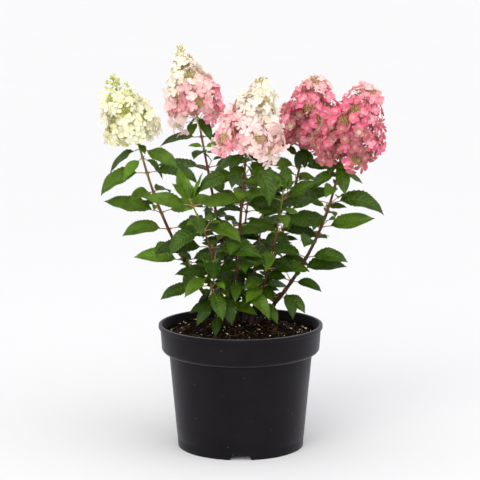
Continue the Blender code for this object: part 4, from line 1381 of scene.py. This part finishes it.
def rule_leaves(stem, rng):
    """Leaves of a stem by the seeded rule of its solid: [(leaf, share of the stem)].

    The solid turned a leaf a little, or left it out, where it would have touched
    something. The try it kept is the one whose tip is a corner of the solid.
    """
    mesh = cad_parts[f"leaves_{stem.name}"].data
    tips = KDTree(len(mesh.vertices))
    for i, vertex in enumerate(mesh.vertices):
        tips.insert(vertex.co, i)
    tips.balance()
    draw = random.Random(f"{LEAF_SEED} {stem.name}")
    grown = []
    for share, heading, blade, rise, droop in stem.pairs:
        for turned in (0, 180):
            aim = heading + turned + draw.uniform(-HEADING_SPREAD, HEADING_SPREAD)
            lift = rise + draw.uniform(-RISE_SPREAD, RISE_SPREAD)
            bend = droop + draw.uniform(-DROOP_SPREAD, DROOP_SPREAD)
            size = blade * MM * draw.uniform(*SIZE_SPREAD)
            root = stem.point(share)
            for change, tilt in [(c, t) for c in HEADING_TRIES for t in RISE_TRIES]:
                look = random.Random(rng.random())
                leaf = Leaf(root, aim + change, lift + tilt, bend, size, look)
                if tips.find(leaf.solid_tip())[2] < TIP_MATCH:
                    grown.append((leaf, share))
                    break
    return grown


def leaf_tone(stem, share, rng):
    """Number of a leaf's green: fresh near a tip, darker low down and on the stems at the back,
    lighter on the left stem.
    """
    # Lower leaves are darker: older leaves, with painted shade.
    mean = 1.1 + 1.3 * share
    if not stem.bloom and share > 0.9:
        mean = 3.3
    # The left stem's leaves are lighter: painted light.
    if stem.name == "left":
        mean += 0.8
    # Leaves on the stems at the back are darker: painted shade.
    if stem.foot.y > 20 * MM:
        mean -= 0.4
    return whole(rng.gauss(mean, 0.7), YOUNG_LEAF)


def stalk_tone(tone, rng):
    """Number of a leaf stalk's finish: green with a young leaf, else mostly tan or red."""
    if tone == YOUNG_LEAF:
        return STALK_GREEN
    return rng.choices((STALK_TAN, STALK_RED, STALK_GREEN), (5, 3, 1.5))[0]


def axil_bud(skin, stem, leaf, share):
    """A small pointed bud above a leaf stalk's root."""
    way = (leaf.out + UP * 1.3).normalized()
    start = leaf.root + leaf.out * stem.radius(share) * 0.8 + UP * 1.6 * MM
    points = [start + way * AXIL_BUD_SIZE * along for along, _ in AXIL_BUD_FORM]
    radii = [AXIL_BUD_SIZE * thick for _, thick in AXIL_BUD_FORM]
    skin.add(*twig(points, radii, 6), AXIL_BUD)


def fine_twig(leaf, rng, near):
    """A side twig from a leaf's axil: its points, and small leaves clear of what is near."""
    heading = math.degrees(math.atan2(leaf.out.y, leaf.out.x)) + rng.uniform(-35, 35)
    lift = math.radians(rng.uniform(35, 62))
    way = swing(level_way(math.radians(heading)), UP, lift)
    length = rng.uniform(9, 24) * MM
    root = leaf.root + UP * 1.5 * MM
    middle = root + way * length * 0.5 + leaf.out * 0.6 * MM
    tip = root + way * length
    small_leaves = []
    for turn, size in ((90, 1), (-90, 1), (0, 0.8)):
        blade = rng.uniform(20, 37) * MM * size
        small = Leaf(tip, heading + turn + rng.uniform(-25, 25), rng.uniform(0, 35),
                     rng.uniform(20, 50), blade, random.Random(rng.random()), TWIG_LEAF_STALK)
        if all(near.find_nearest(point, TWIG_CLEARANCE)[0] is None for point in small.probe()):
            small_leaves.append(small)
    return [root, middle, tip], small_leaves


def fine_twigs(stem, leaves, grown, rng, near):
    """Side twigs with small leaves from the axils of a stem, by chance and not at its tip."""
    blades, stalks = grown
    chance = 0.42 if stem.bloom else 0.3
    for leaf, share in leaves:
        if share > TWIG_LAST or rng.random() > chance:
            continue
        points, small_leaves = fine_twig(leaf, rng, near)
        if not small_leaves:
            continue
        stalks.add(*twig(points, TWIG_RADII, 6),
                   rng.choice((STALK_TAN, STALK_TAN, STALK_RED, STALK_GREEN)))
        for small in small_leaves:
            # Lower small leaves are darker: older leaves, with painted shade.
            tone = whole(rng.gauss(1.6 + 1.2 * share, 0.8), YOUNG_LEAF)
            small.build(blades, tone)
            small.stalk(stalks, stalk_tone(tone, rng))


def tip_leaves(stem, grown, rng):
    """The tuft at the end of a shoot: its youngest leaves, small, bright and upright."""
    blades, stalks = grown
    tip = stem.point(1.0)
    start = rng.uniform(0, 360)
    for k in range(TUFT_LEAVES):
        heading = start + 360 * GOLDEN_SHARE * k
        blade = (44 - 5 * k) * MM * rng.uniform(0.85, 1.1)
        rise = 48 + 6 * k + rng.uniform(-6, 6)
        small = Leaf(tip, heading, rise, rng.uniform(-10, 22), blade,
                     random.Random(rng.random()), TUFT_LEAF_STALK)
        small.build(blades, FRESH_LEAF if k < TUFT_FRESH else YOUNG_LEAF)
        small.stalk(stalks, STALK_GREEN)


def flower_stalk_leaves(stem, grown, rng):
    """Leaves on the bare stalk under a cone, all turned to the light from the front."""
    blades, stalks = grown
    for along, heading, blade, rise, droop in FLOWER_STALK_LEAVES.get(stem.name, ()):
        root = stem.tip.lerp(stem.bloom.top, along)
        leaf = Leaf(root, heading, rise, droop, blade * MM, random.Random(rng.random()),
                    FLOWER_LEAF_STALK, FRONT_LIT)
        leaf.build(blades, leaf_tone(stem, 0.9, rng))
        leaf.stalk(stalks, STALK_GREEN)


def skin_tree(skins):
    """A search tree of all the faces of some skins."""
    tree_skin = Skin()
    for skin in skins:
        tree_skin.add(skin.corners, skin.faces, 0)
    return BVHTree.FromPolygons(tree_skin.corners, tree_skin.faces)


def build_leaves():
    """Leaves and leaf stalks of every stem, then finer twigs where there is room."""
    parts = []
    for stem in STEMS:
        rng = random.Random(f"{LOOK_SEED} leaves {stem.name}")
        leaves = rule_leaves(stem, rng)
        blades, stalks = Skin(), Skin()
        for leaf, share in leaves:
            tone = leaf_tone(stem, share, rng)
            leaf.build(blades, tone)
            leaf.stalk(stalks, stalk_tone(tone, rng))
            axil_bud(stalks, stem, leaf, share)
        parts.append((stem, leaves, blades, stalks, rng))
    near = skin_tree([part[2] for part in parts])
    for stem, leaves, blades, stalks, rng in parts:
        fine_twigs(stem, leaves, (blades, stalks), rng, near)
        if stem.bloom:
            flower_stalk_leaves(stem, (blades, stalks), rng)
        else:
            tip_leaves(stem, (blades, stalks), rng)
        nodes = [f"leaves_{stem.name}"]
        make_piece(f"leaf_blades_{stem.name}", blades, LEAF_FINISHES, nodes, sharp=75)
        make_piece(f"leaf_stalks_{stem.name}", stalks, STALK_FINISHES, nodes, sharp=70)


# ---------------------------------------------------------------- blossom

def petal(way, normal, centre, length, width, cup, ruffle):
    """Corners of one rounded petal, the faces of its top and those of its underside."""
    across = normal.cross(way)
    upper = []
    lower = []
    for r, (share, part) in enumerate(PETAL_ROWS):
        for column in PETAL_COLUMNS:
            edge = column * column
            at = share - PETAL_ROUNDING * edge * share * share
            side = column * part * width / 2
            height = cup * length * at * at + PETAL_RIM_LIFT * width * edge * part
            frill = math.sin(PETAL_FRILL[0] * column + PETAL_FRILL[1] * share)
            height += ruffle * length * frill * share * abs(column)
            point = centre + way * at * length + across * side + normal * height
            upper.append(point)
            if 0 < r < len(PETAL_ROWS) - 1 and edge < 1:
                lower.append(point - normal * PETAL_THICKNESS)
    wide = len(PETAL_COLUMNS)

    def under(r, c):
        """The corner under one of the top, which is the same one at the rim."""
        if r in (0, len(PETAL_ROWS) - 1) or c in (0, wide - 1):
            return r * wide + c
        return len(upper) + (r - 1) * (wide - 2) + c - 1

    tops = []
    bottoms = []
    for r in range(len(PETAL_ROWS) - 1):
        for c in range(wide - 1):
            here = r * wide + c
            tops.append([here, here + wide, here + wide + 1, here + 1])
            bottoms.append([under(r, c + 1), under(r + 1, c + 1), under(r + 1, c), under(r, c)])
    return upper + lower, tops, bottoms


def petal_finishes(tone):
    """A finish for each face of a petal's top, from its foot out.

    A coloured petal is one tone paler at its foot. An aged one is dusty at its rim.
    """
    if tone == AGED:
        foot, foot_rows, rest = AGED, 3, DUSTY
    else:
        foot, foot_rows, rest = min(tone, max(tone - 1, IVORY)), 1, tone
    wide = len(PETAL_COLUMNS) - 1
    rows = len(PETAL_ROWS) - 1
    return [foot] * wide * foot_rows + [rest] * wide * (rows - foot_rows)


class Cone:
    """One cone of blossom while it grows: its axis, its petals, and stalks with buds."""

    def __init__(self, stem):
        bloom = stem.bloom
        self.stem = stem
        self.bloom = bloom
        self.rng = random.Random(f"{bloom.seed} bloom {stem.name}")
        self.length = (bloom.top - stem.tip).length
        self.height = self.length * (1 - bloom.low)
        self.upward = (bloom.top - stem.tip).normalized()
        self.foot_way = (self.upward + UP).normalized()
        self.side = (Vector((1, 0, 0)) - self.upward * self.upward.x).normalized()
        self.other = self.upward.cross(self.side)
        self.petals = Skin()
        self.heads = Skin()
        self.stalk = STALK_OF_BUD[bloom.bud]
        self.bud = BUD_FINISH[bloom.bud]
        self.open_branches = []
        for rise, heading in bloom.sprays:
            angle = math.radians(heading)
            self.open_branches.append((rise, angle, self.heart(rise, angle, OPEN_DEPTH), False))
        for share, heading, reach in bloom.hanging:
            rise = (share - bloom.low) / (1 - bloom.low)
            angle = math.radians(heading)
            heart = self.axis(rise) + self.spread(angle) * reach * MM
            self.open_branches.append((rise, angle, heart, True))

    def spread(self, angle):
        """The way out from the axis at an angle round it."""
        return swing(self.side, self.other, angle)

    def axis(self, rise):
        """A point on the axis; rise is 0 at the cone's foot, and less on its bare stalk."""
        return self.stem.tip + self.upward * (self.bloom.low * self.length + rise * self.height)

    def heart(self, rise, angle, depth=HEART_DEPTH):
        """Where the fork of a side branch lies, a little under the cone's surface."""
        reach = max(self.bloom.outline(rise) - depth - 4 * MM * max(rise, 0), 2 * MM)
        return self.axis(rise) + self.spread(angle) * reach

    def clearance(self, place):
        """How far a place is from the nearest fork of a branch that lies open to view."""
        far = 1.0
        return min([far] + [(place - heart).length for _, _, heart, _ in self.open_branches])

    def branch(self, low, end, thick, bow=3 * MM):
        """A fine branch that curves up from low to its end."""
        steps = 4
        way = end - low
        knee = low.lerp(end, 0.5) + way.cross(self.upward).cross(way).normalized() * bow
        points = []
        for k in range(steps + 1):
            t = k / steps
            points.append(low * (1 - t) ** 2 + knee * 2 * t * (1 - t) + end * t * t)
        radii = [thick * (1 - 0.14 * k) for k in range(steps + 1)]
        self.heads.add(*twig(points, radii, 5), self.stalk)

    def flower(self, centre, normal, size, tone):
        """A four-petalled flower: two petals over two, each paler at its foot."""
        rng = self.rng
        side, other = two_across(normal)
        start = rng.uniform(0, math.pi)
        cup = rng.uniform(*FLOWER_CUP)
        under = DUSTY if tone == AGED else tone
        for k in range(4):
            angle = start + math.pi / 2 * k + rng.uniform(-PETAL_TURN, PETAL_TURN)
            way = swing(side, other, angle)
            face = normal + way * rng.gauss(0, PETAL_PITCH)
            face += way.cross(normal) * rng.gauss(0, PETAL_ROLL)
            face = (face - way * face.dot(way)).normalized()
            length = size * rng.uniform(*PETAL_LENGTH)
            width = size * rng.uniform(*PETAL_WIDTH)
            base = centre + normal * PETAL_OVERLAP * (k % 2)
            corners, tops, bottoms = petal(way, face, base, length, width,
                                           cup + rng.uniform(-PETAL_CUP, PETAL_CUP),
                                           rng.uniform(*PETAL_RUFFLE))
            finishes = petal_finishes(tone) + [under] * len(bottoms)
            self.petals.add(corners, tops + bottoms, finishes)
        self.heads.add(*bead(centre + normal * EYE_LIFT, EYE_RADIUS), EYE)

    def tone(self, rise, lean, shift):
        """Tone of one flower, by its height and side with a little chance.

        Low down on the deepest rose cones most of the flowers are old, and their darker dusty and
        russet tones also paint the shade there.
        """
        mean = self.bloom.tone(rise, lean) + shift
        is_old = self.bloom.tones[0][1] > ROSE
        if is_old and self.rng.random() < 1 - 1.6 * rise:
            return self.rng.choices(OLD_TONES, OLD_WEIGHTS)[0]
        return whole(self.rng.gauss(mean, 0.3), DEEPEST)

    def spray(self, heart, way, count, reach, size):
        """A flat dome of fertile buds on fine stalks round the end of a branch."""
        side, other = two_across(way)
        for k in range(count):
            out = reach * math.sqrt((k + 0.5) / count)
            end = heart + swing(side, other, k * GOLDEN_ANGLE) * out
            end += way * (0.55 * reach - 0.3 * out + self.rng.uniform(-0.7, 0.7) * MM)
            self.heads.add(*twig([heart, end], BUD_STALK_RADII, 3), self.stalk)
            self.heads.add(*bead(end, size * self.rng.uniform(0.75, 1.15)), self.bud)

    def cyme(self, rise, angle, heart, is_open=False, is_hanging=False):
        """A side branch: a spray of fertile buds with a ring of open flowers round it."""
        rng = self.rng
        habit = OPEN_BRANCH if is_open else CLOSED_BRANCH
        way = self.spread(angle) + self.upward * (1.5 * max(rise, 0) ** 1.2 - 0.1)
        if is_hanging:
            way += HANGING_LEAN
        way.normalize()
        if not is_open:
            heart = heart + way * rng.gauss(0, 2.2) * MM
        fork = max(rise - 0.16, -0.1, -self.bloom.low)
        self.branch(self.axis(fork), heart, BRANCH_RADIUS)
        narrow = min(1, 0.4 + self.bloom.outline(rise) / self.bloom.radius)
        self.spray(heart, way, habit.buds, habit.bud_reach * MM * narrow, habit.bud_size * MM)
        side, other = two_across(way)
        start = rng.uniform(0, math.tau)
        shift = rng.gauss(0, 0.2)
        for k in range(habit.flowers):
            turn = start + math.tau * (k + rng.uniform(-0.2, 0.2)) / habit.flowers
            out = swing(side, other, turn)
            centre = heart + out * rng.uniform(*habit.out) * MM * narrow
            centre += way * rng.uniform(*habit.on) * MM * narrow
            centre = self.kept_in(centre, is_hanging)
            if is_open or self.clearance(centre) >= OPEN_REACH:
                self.ring_flower(heart, centre, way, out, shift)

    def kept_in(self, centre, may_hang):
        """centre, moved if it is below the cone's foot or above its last flowers."""
        above = (centre - self.axis(0)).dot(self.foot_way)
        highest = self.bloom.peak * self.height
        if above < LOWEST_FLOWER and not may_hang:
            return centre + self.foot_way * (LOWEST_FLOWER - above) * self.rng.uniform(0.7, 1.3)
        if above > highest:
            return centre - self.upward * (above - highest) * self.rng.uniform(0.9, 1.6)
        return centre

    def ring_flower(self, heart, centre, way, out, shift):
        """A flower of the ring round a branch's end, on its stalk. Higher ones are smaller."""
        rng = self.rng
        nod = wander(rng, LOOSE_NOD if rng.random() < LOOSE_CHANCE else FLOWER_NOD)
        normal = (way + out * rng.uniform(0.0, 0.6) + nod).normalized()
        at = (centre - self.axis(0)).dot(self.upward) / self.height
        size = rng.uniform(*FLOWER_RADIUS) * MM * (1 - FLOWER_SHRINK * max(at, 0))
        lean = (centre - self.axis(at)).normalized().x
        self.flower(centre, normal, size, self.tone(at, lean, shift))
        self.branch(heart, centre - normal * 0.3 * MM, FLOWER_STALK_RADIUS, FLOWER_STALK_BOW)

    def inner_flower(self, rise, angle, reach):
        """A flower deep among the branches, turned out and in the others' shade, its tone shifted
        deeper as painted shade.
        """
        rng = self.rng
        way = self.spread(angle)
        centre = self.axis(rise) + way * reach
        normal = (way + wander(rng, 0.3)).normalized()
        # The shift paints shade: a step towards lime in a lime cone and towards rose in the others.
        tone = self.tone(rise, way.x, -0.6 if self.bloom.bud == "lime" else 0.4)
        self.flower(centre, normal, rng.uniform(*INNER_FLOWER_RADIUS) * MM, tone)
        self.branch(self.axis(rise - 0.08), centre, FLOWER_STALK_RADIUS, FLOWER_STALK_BOW)

    def bud_cluster(self, rise, angle, size):
        """A short side branch near the top, with a few round buds at its end."""
        rng = self.rng
        reach = max(self.bloom.outline(rise) * rng.uniform(0.4, 0.95) - size, 0.6 * MM)
        end = self.axis(rise) + self.spread(angle) * reach + self.upward * 2 * MM
        self.branch(self.axis(rise - 0.05), end, CLUSTER_STALK_RADIUS, 1 * MM)
        for _ in range(rng.randint(3, 5)):
            way = wander(rng, 1).normalized()
            self.heads.add(*bead(end + way * size * 1.1, size * rng.uniform(0.8, 1.15), 2), self.bud)

    def grow_axis(self):
        """The main stalk, from inside the tip of the stem up among the flowers."""
        steps = 12
        share = 0.93 if self.bloom.bud_start < 1 else self.bloom.peak - PEAK_MARGIN
        points = [self.stem.tip.lerp(self.bloom.top, k / steps * share) for k in range(steps + 1)]
        points[0] = self.stem.tip - self.stem.direction(1) * 2 * MM
        radii = [self.stem.tip_radius * (1.05 - 0.8 * k / steps) for k in range(steps + 1)]
        self.heads.add(*twig(points, radii, 8), self.stalk)

    def grow_outer(self):
        """Side branches round the cone, except where they would cover an open one."""
        bloom = self.bloom
        first_angle = self.rng.uniform(0, math.tau)
        for i, rise in enumerate(bloom.even_rises()):
            if rise > bloom.bud_start:
                continue
            angle = first_angle + i * GOLDEN_ANGLE + self.rng.uniform(-0.15, 0.15)
            rise = min(rise + self.rng.uniform(-0.04, 0.04), bloom.peak - PEAK_MARGIN)
            heart = self.heart(rise, angle)
            if self.clearance(heart) > OPEN_SPACING:
                self.cyme(rise, angle, heart)

    def grow_inner(self):
        """Two layers of flowers behind the outer ones, up to three quarters of the way."""
        bloom = self.bloom
        for depth in INNER_DEPTHS:
            for i, rise in enumerate(bloom.even_rises()[:bloom.branches * 3 // 4]):
                angle = (i + 0.5) * GOLDEN_ANGLE + 100 * depth
                self.inner_flower(rise + 0.04, angle, max(bloom.outline(rise) - depth, 3 * MM))

    def grow_tip(self):
        """Clusters of round buds over the top of a cone that is still in bud there."""
        bloom = self.bloom
        first = bloom.bud_start - 0.08
        clusters = round(CLUSTERS_PER_CONE * (1 - first))
        size = LIME_BUD_RADIUS if bloom.bud == "lime" else RIPE_BUD_RADIUS
        for i in range(clusters):
            rise = first + (BUD_TOP - first) * (i + 0.5) / clusters
            self.bud_cluster(rise, i * GOLDEN_ANGLE, size * (1.1 - 0.35 * i / clusters))

    def grow(self):
        """The whole cone, from its main stalk out."""
        self.grow_axis()
        self.grow_outer()
        self.grow_inner()
        for rise, angle, heart, is_hanging in self.open_branches:
            self.cyme(rise, angle, heart, True, is_hanging)
        if self.bloom.bud_start < 1:
            self.grow_tip()


def build_bloom(stem):
    """The two pieces of a cone: its petals, and its stalks with buds and eyes."""
    cone = Cone(stem)
    cone.grow()
    nodes = [f"bloom_{stem.name}"]
    make_piece(f"petals_{stem.name}", cone.petals, PETAL_FINISHES, nodes, sharp=75)
    make_piece(f"flower_stalks_{stem.name}", cone.heads, HEAD_FINISHES, nodes, sharp=70)


# ---------------------------------------------------------------- studio

def build_floor():
    """A plain pale floor, matt painted board that runs off out of sight."""
    half = 300
    mesh = bpy.data.meshes.new("floor")
    mesh.from_pydata([(-half, -half, 0), (half, -half, 0), (half, half, 0), (-half, half, 0)],
                     [], [[0, 1, 2, 3]])
    floor = bpy.data.objects.new("floor", mesh)
    mesh.materials.append(
        grown_finish("painted_board_matt", "#e6e6e8", "#e7e7e9", 2.5, 2 * MM, 0.0,
                     (0.85, 0.95), 0.0))
    bpy.context.scene.collection.objects.link(floor)


def add_softbox(name, place, strength, spread, colour):
    """A broad soft lamp far off in the direction of place, spread degrees across."""
    distance = 3
    lamp = bpy.data.lights.new(name, "SUN")
    lamp.energy = strength
    lamp.angle = math.radians(spread)
    lamp.color = srgb(colour)[:3]
    made = bpy.data.objects.new(name, lamp)
    made.location = Vector(place) * distance
    made.rotation_euler = Vector(place).to_track_quat("Z", "Y").to_euler()
    bpy.context.scene.collection.objects.link(made)


def add_table_lamp(place, width, power):
    """A round lamp near over the table, which lights the floor round the pot."""
    lamp = bpy.data.lights.new("table_lamp", "AREA")
    lamp.shape = "DISK"
    lamp.size = width
    lamp.energy = power
    made = bpy.data.objects.new("table_lamp", lamp)
    made.location = place
    bpy.context.scene.collection.objects.link(made)


def build_room():
    """A pale room, brightest towards the front and low down, dimmer over the back."""
    high_back = (0, 0.5, 0.87)
    bright, dim = (1.02, 1.023, 1.03, 1), (0.75, 0.753, 0.76, 1)
    world = bpy.data.worlds.new("pale_room")
    world.use_nodes = True
    tree = world.node_tree
    way = add_node(tree, "ShaderNodeTexCoord").outputs["Generated"]
    height = add_node(tree, "ShaderNodeVectorMath", {0: way}, {1: high_back},
                      operation="DOT_PRODUCT").outputs["Value"]
    shade = add_node(tree, "ShaderNodeValToRGB", {"Fac": height},
                     stops=((0.10, bright), (0.45, dim)))
    plug(tree, tree.nodes["Background"], {"Color": shade.outputs["Color"]})
    bpy.context.scene.world = world


def build_studio():
    """The room, three broad softboxes far off and a lamp over the table."""
    build_room()
    add_softbox("key_softbox", (-0.4, -1.0, 0.6), 1.25, 50, "#fffbf2")
    add_softbox("fill_softbox", (0.8, -0.6, 0.6), 0.3, 60, "#f8faff")
    add_softbox("overhead_softbox", (0.1, -0.35, 1.0), 0.55, 80, "#ffffff")
    add_table_lamp((0.1, -0.5, 1.9), 2.0, 4)
    view = bpy.context.scene.view_settings
    view.view_transform = "Standard"
    view.look = "None"


def build_camera():
    """A long lens in front, a little above the blossom and looking down."""
    lens = bpy.data.cameras.new("camera")
    lens.lens = 124.9
    lens.sensor_width = 36
    camera = bpy.data.objects.new("camera", lens)
    camera.location = (-0.0011, -2.79, 0.779)
    camera.rotation_euler = (math.radians(81.35), 0, 0)
    bpy.context.scene.collection.objects.link(camera)
    bpy.context.scene.camera = camera


def main():
    """Build the studio and the plant."""
    build_camera()
    build_studio()
    build_floor()
    build_pot()
    build_soil()
    for stem in STEMS:
        build_cane(stem)
    build_leaves()
    for stem in STEMS:
        if stem.bloom:
            build_bloom(stem)


main()
